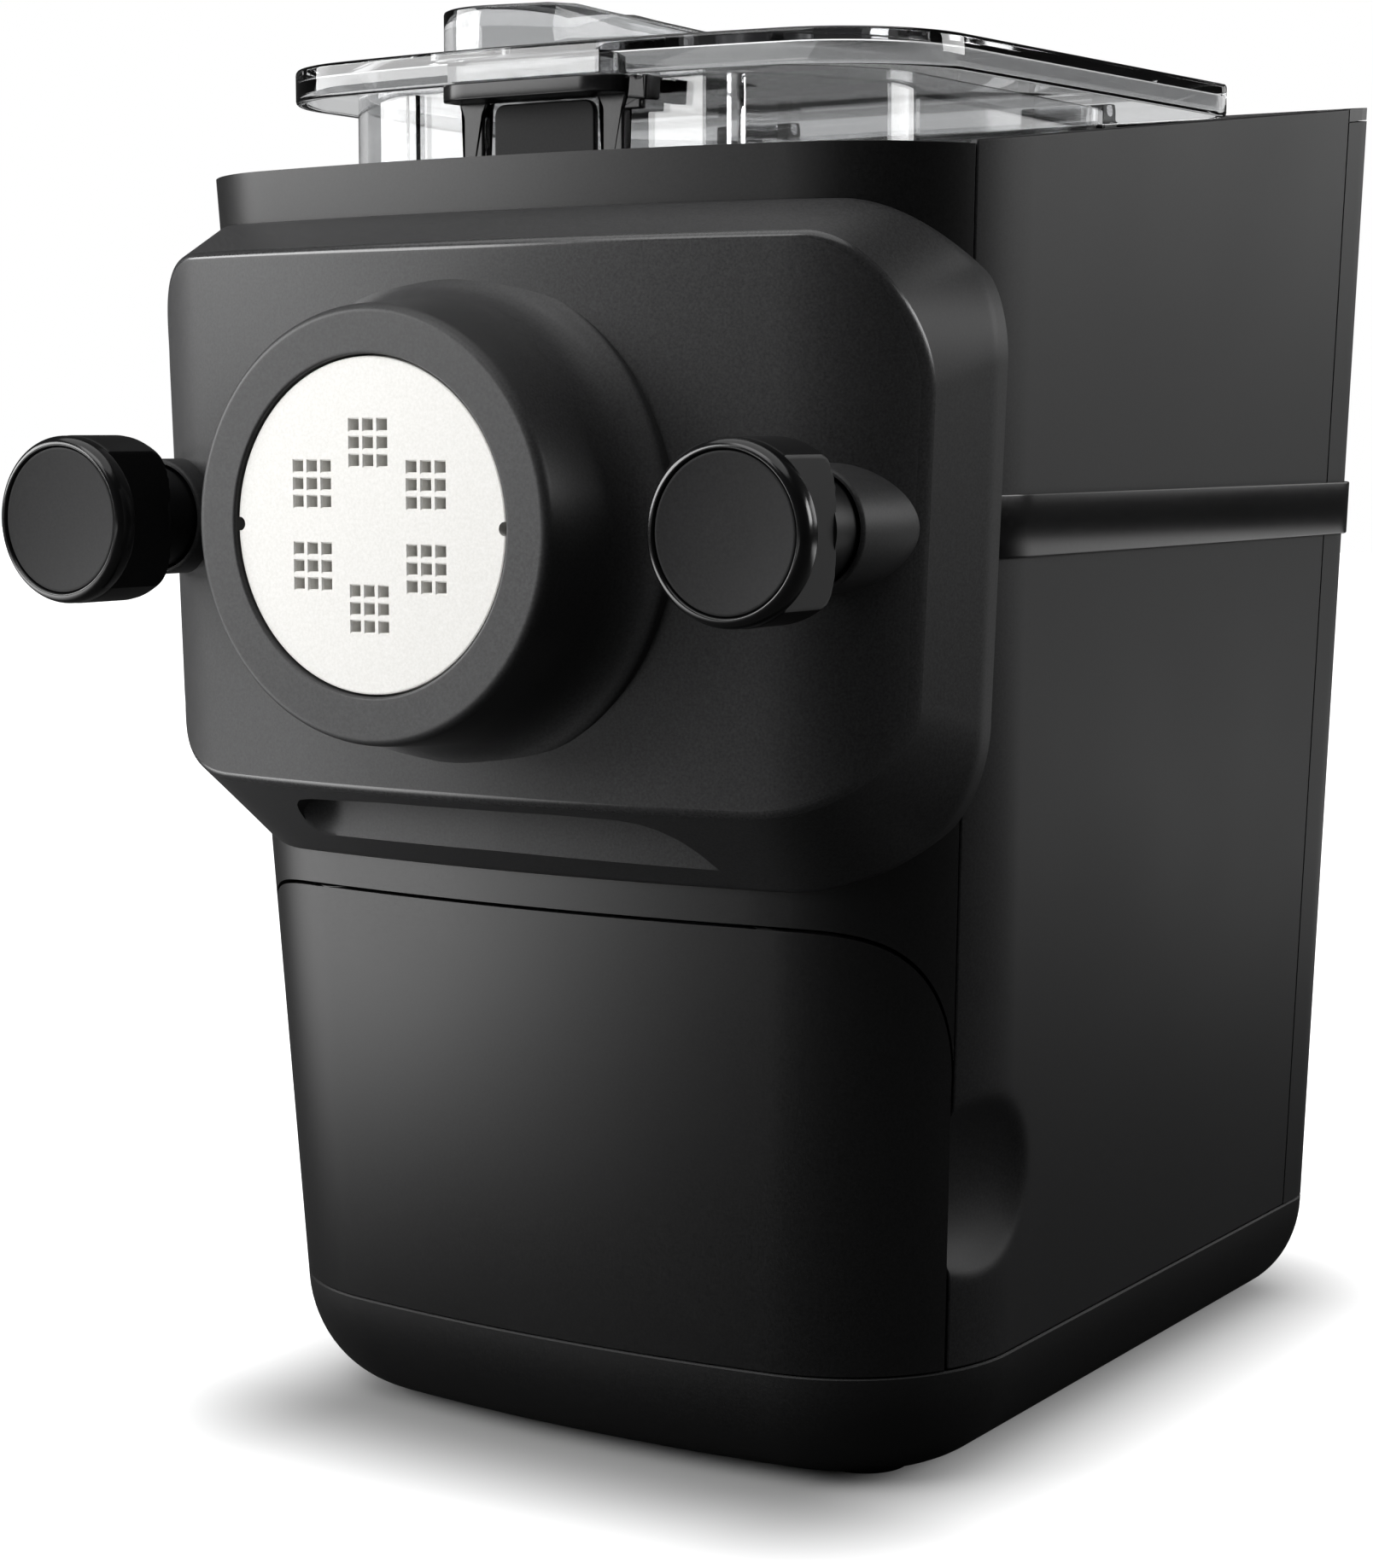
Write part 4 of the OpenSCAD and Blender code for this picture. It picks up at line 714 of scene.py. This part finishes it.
for s0, s1, count, share in ((1.9 / length, s_top, 6, 0), (s_in, s_in, 1, 1), (s_in, s_low, 13, 1),
                             (s_low, 1 - 1.6 / length, 8, 0)):
    for k in range(1, count + 1):
        ring = edge + drop * (s0 + (s1 - s0) * k / count)[:, None]
        ring[:, 1] += (y_lip - ring[:, 1]) * pull * share
        rings.append(ring)
back_edge = outer_rim + (0, 1.6, 0)
rings += rounded(outer_rim - drop * (1.6 / length)[:, None], outer_rim, back_edge, 5)[1:]
last = seated(0.4, -81.0)
rings = np.array(rings + [back_edge + (last - back_edge) * s for s in (0.5, 1)])

# the fillet between the face and the skirt is a little glossier than the face
panel_edge = grained("panel_edge_abs", (0.022, 0.022, 0.0225), (0.044, 0.044, 0.045), 0.20, 0.28, gloss=0.6)
panel_shell = shell("panel_shell", rings, "panel", panel_charcoal, moulded(WALL, 0.4, 2, 60), wrap=True,
                    hides=["front_panel"])
panel_shell.data.materials.append(panel_edge)
for face in panel_shell.data.polygons:
    face.material_index = 20 <= face.index // len(edge_2d) < 26
KNOB_X = 100.7
boss = [(-104, 11), (-104, 15.4), (-136.4, 15.4), (-137.0, 15.25), (-137.3, 14.9), (-137.3, 14.3),
        (-137.0, 14.1), (-112, 14.0), (-112, 11)]
for hand, side in HANDS:
    turned(f"panel_boss_{hand}", boss, side * KNOB_X, AXIS_H, "panel", panel_charcoal, count=96, loop=True,
           slot="charcoal_plastic")

# ---- barrel collar -----------------------------------------------------
# The round nose that clamps the barrel and the disc: matt face, dark side, and
# a raised ring where it meets the panel.
collar_black = grained("collar_abs", (0.022, 0.022, 0.0225), (0.042, 0.042, 0.043), 0.38, 0.50, gloss=0.32)
collar = [(0.6, 41.2), (0.15, 41.45), (0, 41.8), (0, 42.1), (0, 51.0), (0, 51.4), (0.12, 51.9),
          (0.5, 52.5), (1.1, 52.95), (1.9, 53.2), (2.4, 53.32), (3.2, 53.42), (12, 54.1), (22, 54.7),
          (27, 55.7), (30, 56.9), (32, 58.3), (33.2, 60.2), (33.8, 61.9), (34.3, 63.2), (34.7, 63.7),
          (35.4, 64), (39, 64), (39, 45.1), (6.8, 45.1), (6.8, 41.2)]
turned("collar", [(d - 175, r) for d, r in collar], 0, AXIS_H, "panel", collar_black, count=224, loop=True,
       hides=["barrel_collar"], slot="charcoal_plastic")

# ---- knobs -------------------------------------------------------------
# Two clamping knobs on steel studs: each has a matt grip with two flats on a
# round neck, a high-gloss ring in front and a matt cap pressed into the ring.
paint(steel, "knob_studs")
knob_matt = grained("knob_matt", (0.004, 0.004, 0.0043), (0.010, 0.010, 0.0104), 0.36, 0.48, gloss=0.25)
cap_matt = grained("knob_cap_matt", (0.005, 0.005, 0.0053), (0.011, 0.011, 0.0114), 0.42, 0.54, gloss=0.14)
ring_gloss = grained("knob_ring_gloss", (0.003, 0.003, 0.0032), (0.005, 0.005, 0.0053), 0.14, 0.20,
                     size=80, depth=0.002)
KNOB_Y, GRIP_FLAT = -174.6, 12.9
bead = np.radians(np.linspace(0, 90, 12))
ring_profile = [(1.6, 18.6), (0.9, 18.85), (0.3, 19.0), (0.05, 19.2)]
ring_profile += [(3.1 * (1 - math.cos(a)), 19.3 + 2.3 * math.sin(a)) for a in bead]
ring_profile += [(5.0, 21.6), (5.5, 21.45), (5.9, 21.0), (5.9, 18.6)]
cap_profile = [(2.2, 18.7), (0.95, 18.7), (0.65, 18.55), (0.55, 18.3)]
cap_profile += [(0.55 + 1.0 * (1 - (r / 18.3) ** 2), r) for r in (17.9, 16, 13, 9, 5)]
theta = np.arange(160) / 160 * 2 * np.pi


def grip_ring(depth, radius, flat=GRIP_FLAT):
    """Cross-section of the grip: a circle cut by two flats."""
    x, z = radius * np.cos(theta), radius * np.sin(theta)
    return np.stack([np.clip(x, -flat, flat), 0 * x + KNOB_Y + depth, z], -1)


back = np.radians(np.linspace(0, 90, 9))
grip_rings = [grip_ring(3.5, 19.7), grip_ring(5.2, 19.7), grip_ring(5.2, 21.3), grip_ring(5.5, 21.6)]
grip_rings += [grip_ring(d, 21.7) for d in (6.0, 6.4, 12, 18, 21.6)]
grip_rings += [grip_ring(21.8 + 6.6 * math.sin(a), 13.2 + 8.5 * math.cos(a)) for a in back]
grip_rings += [grip_ring(28.6, r, 12.5) for r in (12.5, 11, 9)]
neck = [(27.0, 4), (27.0, 12.6), (27.6, 13.6), (28.2, 13.6), (36.4, 13.6), (36.7, 13.3), (36.9, 12.7),
        (53, 12.7), (53, 4)]
for hand, side in HANDS:
    body, x = f"{hand}_knob", side * KNOB_X
    turned(f"knob_ring_{hand}", [(KNOB_Y + d, r) for d, r in ring_profile], x, AXIS_H, body, ring_gloss,
           count=160, loop=True, hides=[f"knob_{hand}_rim"], slot="gloss_black")
    turned(f"knob_cap_piece_{hand}", [(KNOB_Y + d, r) for d, r in cap_profile], x, AXIS_H, body, cap_matt,
           hides=[f"knob_{hand}_cap"], slot="knob_black")
    loft(f"knob_grip_{hand}", np.array(grip_rings) + (x, 0, AXIS_H), body, knob_matt, sharp=30,
         hides=[f"knob_{hand}"], slot="knob_black")
    turned(f"knob_neck_{hand}", [(KNOB_Y + d, r) for d, r in neck], x, AXIS_H, body, knob_matt, count=96,
           slot="knob_black")

# ---- lid, hinge pins and water inlet ------------------------------------
# A clear lid with a deep rim that turns on two steel pins at the back; a round
# clear funnel with a tail, moulded on top, leads the water to a slot.
paint(steel, "hinge_pins")

LID_W, LID_REAR_W, LID_FRONT, LID_BACK, LID_CORNER, LID_REAR_CORNER = 102.5, 111, -103.5, 88.0, 38, 9


def lid_plan(count=150):
    """The lid's plan: a bow in front, sides that widen to the rear over 150 mm, and round corners."""
    t = np.linspace(0, 1, count)[:, None]
    rf, rr, slant = LID_CORNER, LID_REAR_CORNER, math.atan((LID_REAR_W - LID_W) / 150)
    turn = math.asin((LID_W - rf) / (BOW_R - rf))
    bow = BOW_R * np.hstack([np.sin(turn * t), 1 - np.cos(turn * t)]) + (0, LID_FRONT)
    b = turn + (math.pi / 2 - slant - turn) * t[1:]
    corner = rf * np.hstack([np.sin(b), -np.cos(b)]) + (
        (BOW_R - rf) * math.sin(turn), LID_FRONT + BOW_R - (BOW_R - rf) * math.cos(turn))
    x_back = corner[-1, 0] + math.tan(slant) * (LID_BACK - rr - corner[-1, 1])
    c = math.pi / 2 - slant + (math.pi / 2 + slant) * t[1:]
    rear = np.array([x_back - rr, LID_BACK - rr]) + rr * np.hstack([np.sin(c), -np.cos(c)])
    right = np.vstack([bow, corner, rear, [(0, LID_BACK)]])
    ring = np.vstack([right, (right * (-1, 1))[::-1][1:]])
    run = np.concatenate([[0], np.cumsum(np.linalg.norm(np.diff(ring, axis=0), axis=1))])
    s = np.arange(520) / 520 * run[-1]
    return np.stack([np.interp(s, run, ring[:, k]) for k in (0, 1)], -1)


def shrunk(ring, amount):
    """Moves a closed plan inwards along its own normals."""
    t = np.roll(ring, -1, 0) - np.roll(ring, 1, 0)
    t /= np.linalg.norm(t, axis=1, keepdims=True)
    return ring + np.stack([-t[:, 1], t[:, 0]], -1) * amount


def slot_ring(x, y, r, a, count=60):
    """The slot's rounded rectangle round the cup's middle, as its points seen from there at given angles."""
    t = np.radians(np.linspace(0, 90, count))
    quarter = np.stack([x - r + r * np.cos(t), y - r + r * np.sin(t)], -1)
    ring = np.vstack([quarter, (quarter * (-1, 1))[::-1], quarter * (-1, -1), (quarter * (1, -1))[::-1]])
    b = np.arctan2(ring[:, 1], ring[:, 0])
    order = np.argsort(b)
    b, ring = b[order], ring[order]
    b = np.concatenate([b[-1:] - 2 * np.pi, b, b[:1] + 2 * np.pi])
    ring = np.vstack([ring[-1:], ring, ring[:1]])
    return CUP + np.stack([np.interp(a, b, ring[:, k]) for k in (0, 1)], -1)


CUP = np.array([-43.0, -50.0])
plan = lid_plan()
aim = np.arctan2(plan[:, 1] - CUP[1], plan[:, 0] - CUP[0])
slot = slot_ring(12, 5, 4, aim)
wide = slot_ring(12.6, 5.6, 4.5, aim)


def level(ring, z):
    """A plan ring at one height."""
    return np.column_stack([ring, np.full(len(ring), float(z))])


def between(a, b, share):
    """A plan ring part of the way from one to the other."""
    return a + (b - a) * share


lid_rings = [level(slot, 371.5), level(wide, 372)]
lid_rings += [level(between(wide, shrunk(plan, 1.0), s), 372) for s in (0.3, 0.7, 1)]
rim_section = [(0.4, 371.85), (0.1, 371.4), (0, 370.8), (0, 364.0), (0.15, 363.4), (0.6, 363.0), (2.4, 363.0),
               (2.85, 363.3), (3.0, 364), (3.0, 368.4), (3.3, 368.9), (3.9, 369)]
lid_rings += [level(shrunk(plan, inset), z) for inset, z in rim_section]
lid_rings += [level(between(shrunk(plan, 3.9), wide, s), 369) for s in (0.4, 0.8, 1)] + [level(slot, 369.5)]
clear = {"loop": True, "slot": "smoke_clear"}
loft("lid_plate", lid_rings, "lid_assembly", lid_clear, hides=["lid"], sharp=60, **clear)
knuckle = [(-10, 2.05), (-10, 3.6), (-9.6, 4), (9.6, 4), (10, 3.6), (10, 2.05)]
for hand, side in HANDS:
    section = [(side * 54 + d, r) for d, r in knuckle]
    turned(f"lid_knuckle_{hand}", section, 94, 369, "lid_assembly", lid_clear, about="x", count=64, **clear)

# the funnel: a round cup whose plan draws out to a tail; the top edge falls towards the tail
phi = np.arange(200) / 200 * 2 * np.pi


def cup_plan(inset):
    """Teardrop: a circle of radius 21 with a tail that ends 81 mm from its centre in a small round."""
    r, tail, small = 21 - inset, 81 - inset, 5 - min(inset, 4.0) * 0.9
    c, s = np.cos(phi), np.sin(phi)
    x0 = tail - small
    a0 = math.acos((r - small) / x0)
    turn = np.abs((phi + np.pi) % (2 * np.pi) - np.pi)
    straight = r / np.maximum(np.cos(turn - a0), 1e-3)
    far = x0 * c + np.sqrt(np.maximum(small ** 2 - (x0 * s) ** 2, 0))
    tip = turn < math.atan2(small * math.sin(a0), x0 + small * math.cos(a0))
    reach = np.select([tip, turn < a0], [far, straight], r)
    return CUP + np.stack([reach * c, reach * s], -1)


def cup_top(x):
    """Height of the funnel's top edge at x."""
    return np.interp(x, [-64, -22, -14, -6, 38], [388, 388, 387.2, 385, 374])


def cup_ring(inset, rise, drop=0.0):
    """A ring of the funnel's wall at a share of its height, less a drop."""
    p = cup_plan(inset)
    return np.column_stack([p, 372.05 + (cup_top(p[:, 0]) - 372.05 - drop) * rise])


cup = [cup_ring(*step) for step in (
    (0, 0), (0, 0.3), (0, 0.6), (0, 1, 0.7), (0.2, 1, 0.2), (0.7, 1), (1.8, 1), (2.3, 1, 0.2), (2.5, 1, 0.7),
    (2.5, 0.6), (2.5, 0.3), (2.5, 0))]
loft("water_funnel", cup, "lid_assembly", lid_clear, hides=["water_inlet"], sharp=60, **clear)

# ---- lid tab, catch and switch ------------------------------------------
# The clear tab on the lid's front edge drops over a gloss black lip; the lip
# stands on two legs with a matt plate between them. Beside it is the switch.
catch_black = grained("catch_black", (0.004, 0.004, 0.0042), (0.007, 0.007, 0.0073), 0.18, 0.26,
                      depth=0.003, gloss=0.25)
paint(lid_clear, "lid_tab")


def rounded_outline(corners, count=8):
    """Closed outline, anticlockwise, through (x, y, radius) corners: each is an arc that meets both sides."""
    p = np.array([c[:2] for c in corners], float)
    ring = []
    for k, (_, _, r) in enumerate(corners):
        a, b = p[k - 1] - p[k], p[(k + 1) % len(p)] - p[k]
        a, b = a / np.linalg.norm(a), b / np.linalg.norm(b)
        cut = r / math.tan(math.acos(np.clip(a @ b, -1, 1)) / 2)
        ring += [(1 - t) ** 2 * (p[k] + a * cut) + 2 * t * (1 - t) * p[k] + t * t * (p[k] + b * cut)
                 for t in np.linspace(0, 1, count)]
    return np.array(ring)


def bar(name, corners, low, high, material=catch_black, edge=0.5, upright=True, hides=()):
    """Solid bar: an outline carried from low to high with rounded edges; upright ones stand in x-z."""
    ring = rounded_outline(corners)
    roll = np.radians(np.linspace(0, 90, 5))
    ends = [(edge + 0.2, 0)] + [(edge * (1 - math.sin(t)), edge * (1 - math.cos(t))) for t in roll]
    stack = [(inset, low + rise) for inset, rise in ends]
    stack += [(inset, high - rise) for inset, rise in ends[::-1]]
    rings = np.array([level(shrunk(ring, inset), z) for inset, z in stack])
    finished(name, rings[..., [0, 2, 1]] if upright else rings, capped(*rings.shape[:2]), "frame", material,
             hides=hides, slot="gloss_black")


bar("catch_lip", [(-21, -110.2, 14), (21, -110.2, 14), (28.2, -106.5, 5), (28.2, -97.5, 1.2),
                  (-28.2, -97.5, 1.2), (-28.2, -106.5, 5)], 358.2, 362.6, upright=False, hides=["lid_catch"])
leg = [(25.2, 327, 1), (25.2, 354.5, 3), (26.6, 358.6, 1), (16.4, 358.6, 1), (18.4, 355, 3), (18.4, 327, 1)]
for hand, side in HANDS:
    bar(f"catch_leg_{hand}", [(side * x, z, r) for x, z, r in leg[::side]], -101, -97.5, edge=0.6)
bar("catch_plate", [(15.6, 327, 0.3), (15.6, 357.6, 3.5), (-15.6, 357.6, 3.5), (-15.6, 327, 0.3)], -100, -98,
    cap_matt, edge=0.4)
bar("catch_foot", [(-25, -116.5, 2), (25, -116.5, 2), (25, -97.6, 1), (-25, -97.6, 1)], 326.6, 329.6,
    upright=False)
for hand, x in (("left", -7), ("right", 6.5)):
    turned(f"catch_nub_{hand}", [(362.4, 1.6), (364.6, 1.6), (365.1, 1.4), (365.3, 1.0)], x, -103, "frame",
           catch_black, count=32, about="z", slot="gloss_black")
bar("lid_switch_body", [(28.6, 356.8, 0.6), (34.2, 356.2, 0.6), (34.6, 362.2, 0.5), (33.2, 362.3, 0.2),
                        (32.9, 361.4, 0.2), (31.4, 361.4, 0.2), (31.1, 362.3, 0.3), (29.2, 362.4, 0.5)],
    -104.5, -98, edge=0.4, hides=["lid_switch"])
bar("lid_switch_arm", [(24, 354.5, 0.4), (30, 354.5, 0.4), (30, 357.6, 0.4), (24, 357.6, 0.4)], -100.5, -98,
    edge=0.3)

# ---- gearbox, gears, motor, fan and power board --------------------------
# The drive behind the chamber: a steel motor turns a steel pinion, then moulded gears; the bearings are
# brass; a board at the bottom feeds it.
gear_white = grained("gear_acetal", (0.70, 0.69, 0.66), (0.78, 0.77, 0.74), 0.32, 0.45, size=800)
paint(inner_plastic, "gearbox_case", "cooling_fan")
paint(steel, "gear_axle", "motor_pinion", "motor")
paint(brass, "bearings")
paint(gear_white, "output_gear", "intermediate_gear")

# ---- studio ------------------------------------------------------------
# White sweep: the floor takes soft shadows and is lit up to white for the camera, except close round the
# footprint, where its glow fades out as a painted contact shadow; other rays see the floor painted dark with
# glowing pools; the world is white to the camera and a low grey to everything else.
floor_mesh = bpy.data.meshes.new("floor")
floor_mesh.from_pydata([(-6, -6, 0), (6, -6, 0), (6, 6, 0), (-6, 6, 0)], [], [(0, 1, 2, 3)])
floor = bpy.data.objects.new("floor", floor_mesh)
bpy.context.scene.collection.objects.link(floor)
white, tree, shader, place = plain_shader("studio_floor", Base_Color=(0.4, 0.4, 0.4, 1), Roughness=0.8)


def measure(kind, first, second=None):
    """One step of vector maths."""
    sides = {} if second is None else {"_1": second}
    return chain(tree, "VectorMath", {"operation": kind}, _0=first, **sides)


def fades(value, near, far, at_near, at_far):
    """Soft step of a value from near to far."""
    return chain(tree, "MapRange", {"interpolation_type": "SMOOTHSTEP"}, Value=value.outputs["Value"],
                 From_Min=near, From_Max=far, To_Min=at_near, To_Max=at_far)


def seen_straight(tree):
    """1 for rays that come from the camera or through clear parts, else 0."""
    path = chain(tree, "LightPath")
    return chain(tree, "Math", {"operation": "MAXIMUM"}, _0=path.outputs["Is Camera Ray"],
                 _1=path.outputs["Is Transmission Ray"])


# the white glow begins at a distance from the middle of the footprint, a box 140 by 240 mm around (0, 30) mm;
# nearer the box the glow fades to nothing, a painted contact shadow over the real shadows on the grey floor
beside = measure("SUBTRACT", measure("ABSOLUTE", measure("SUBTRACT", place, (0, 0.03, 0))), (0.07, 0.12, 0))
reach = measure("LENGTH", measure("MAXIMUM", beside, (0, 0, 0)))
glow_with_painted_shadow = chain(tree, "Emission", Color=(1, 1, 1, 1), Strength=fades(reach, 0.0, 0.097, 0.0, 1.2))
# what the glossy mouldings mirror and what bounces onto them: the floor painted dark (painted shade) with
# four soft glowing pools of painted light
painted_light_pools = None
for centre, near, far, strength in (((-0.82, -0.68, 0), 0.2, 0.75, 5.5), ((-0.35, -2.80, 0), 0.4, 1.5, 2.2),
                                    ((0.55, 1.30, 0), 0.2, 0.8, 1.4), ((-0.40, -0.42, 0), 0.05, 0.32, 1.6)):
    pool = fades(measure("DISTANCE", place, centre), near, far, strength, 0.0)
    painted_light_pools = pool if painted_light_pools is None else chain(tree, "Math", {"operation": "ADD"}, _0=painted_light_pools, _1=pool)
# matt: the floor painted dark for mirrored and bounced rays, plus the glowing pools of painted light
matt = chain(tree, "AddShader", _0=chain(tree, "BsdfDiffuse", Color=(0.06, 0.06, 0.06, 1)),
             _1=chain(tree, "Emission", Color=(1, 1, 1, 1), Strength=painted_light_pools))
lit = chain(tree, "AddShader", _0=shader, _1=glow_with_painted_shadow)
picked = chain(tree, "MixShader", _0=seen_straight(tree), _1=matt, _2=lit)
feed(tree, tree.nodes["Material Output"], Surface=picked)
floor_mesh.materials.append(white)


def softbox(name, place, aim, size, power):
    """Square area light aimed at a point."""
    lamp = bpy.data.lights.new(name, "AREA")
    lamp.shape, lamp.size, lamp.size_y, lamp.energy = "RECTANGLE", size[0], size[1], power
    made = bpy.data.objects.new(name, lamp)
    made.location = place
    made.rotation_euler = (Vector(aim) - Vector(place)).to_track_quat("-Z", "Y").to_euler()
    bpy.context.scene.collection.objects.link(made)


softbox("key_left", (-1.62, -1.25, 0.80), (0, -0.05, 0.22), (1.8, 0.9), 46)
softbox("front_high", (-0.30, -1.40, 1.60), (0, -0.1, 0.20), (1.0, 1.0), 9)
softbox("side_right", (1.55, 1.15, 0.78), (0.1, 0, 0.24), (0.9, 0.6), 12)
softbox("rear_right", (0.66, 1.95, 0.62), (0.1, 0.05, 0.20), (0.8, 0.5), 2)
overhead = bpy.data.lights.new("overhead", "SUN")
overhead.energy, overhead.angle = 1.5, math.radians(75)
lamp = bpy.data.objects.new("overhead", overhead)
lamp.rotation_euler = (math.radians(6), math.radians(-4), 0)
bpy.context.scene.collection.objects.link(lamp)

world = bpy.data.worlds.new("studio_world")
bpy.context.scene.world = world
world.use_nodes = True
tree = world.node_tree
feed(tree, tree.nodes["Background"], Color=(1, 1, 1, 1), Strength=1.0)
ambient = chain(tree, "Background", Color=(1, 1, 1, 1), Strength=0.04)
pick = chain(tree, "MixShader", _0=seen_straight(tree), _1=ambient, _2=tree.nodes["Background"])
feed(tree, tree.nodes["World Output"], Surface=pick)
bpy.context.scene.view_settings.view_transform = "Standard"
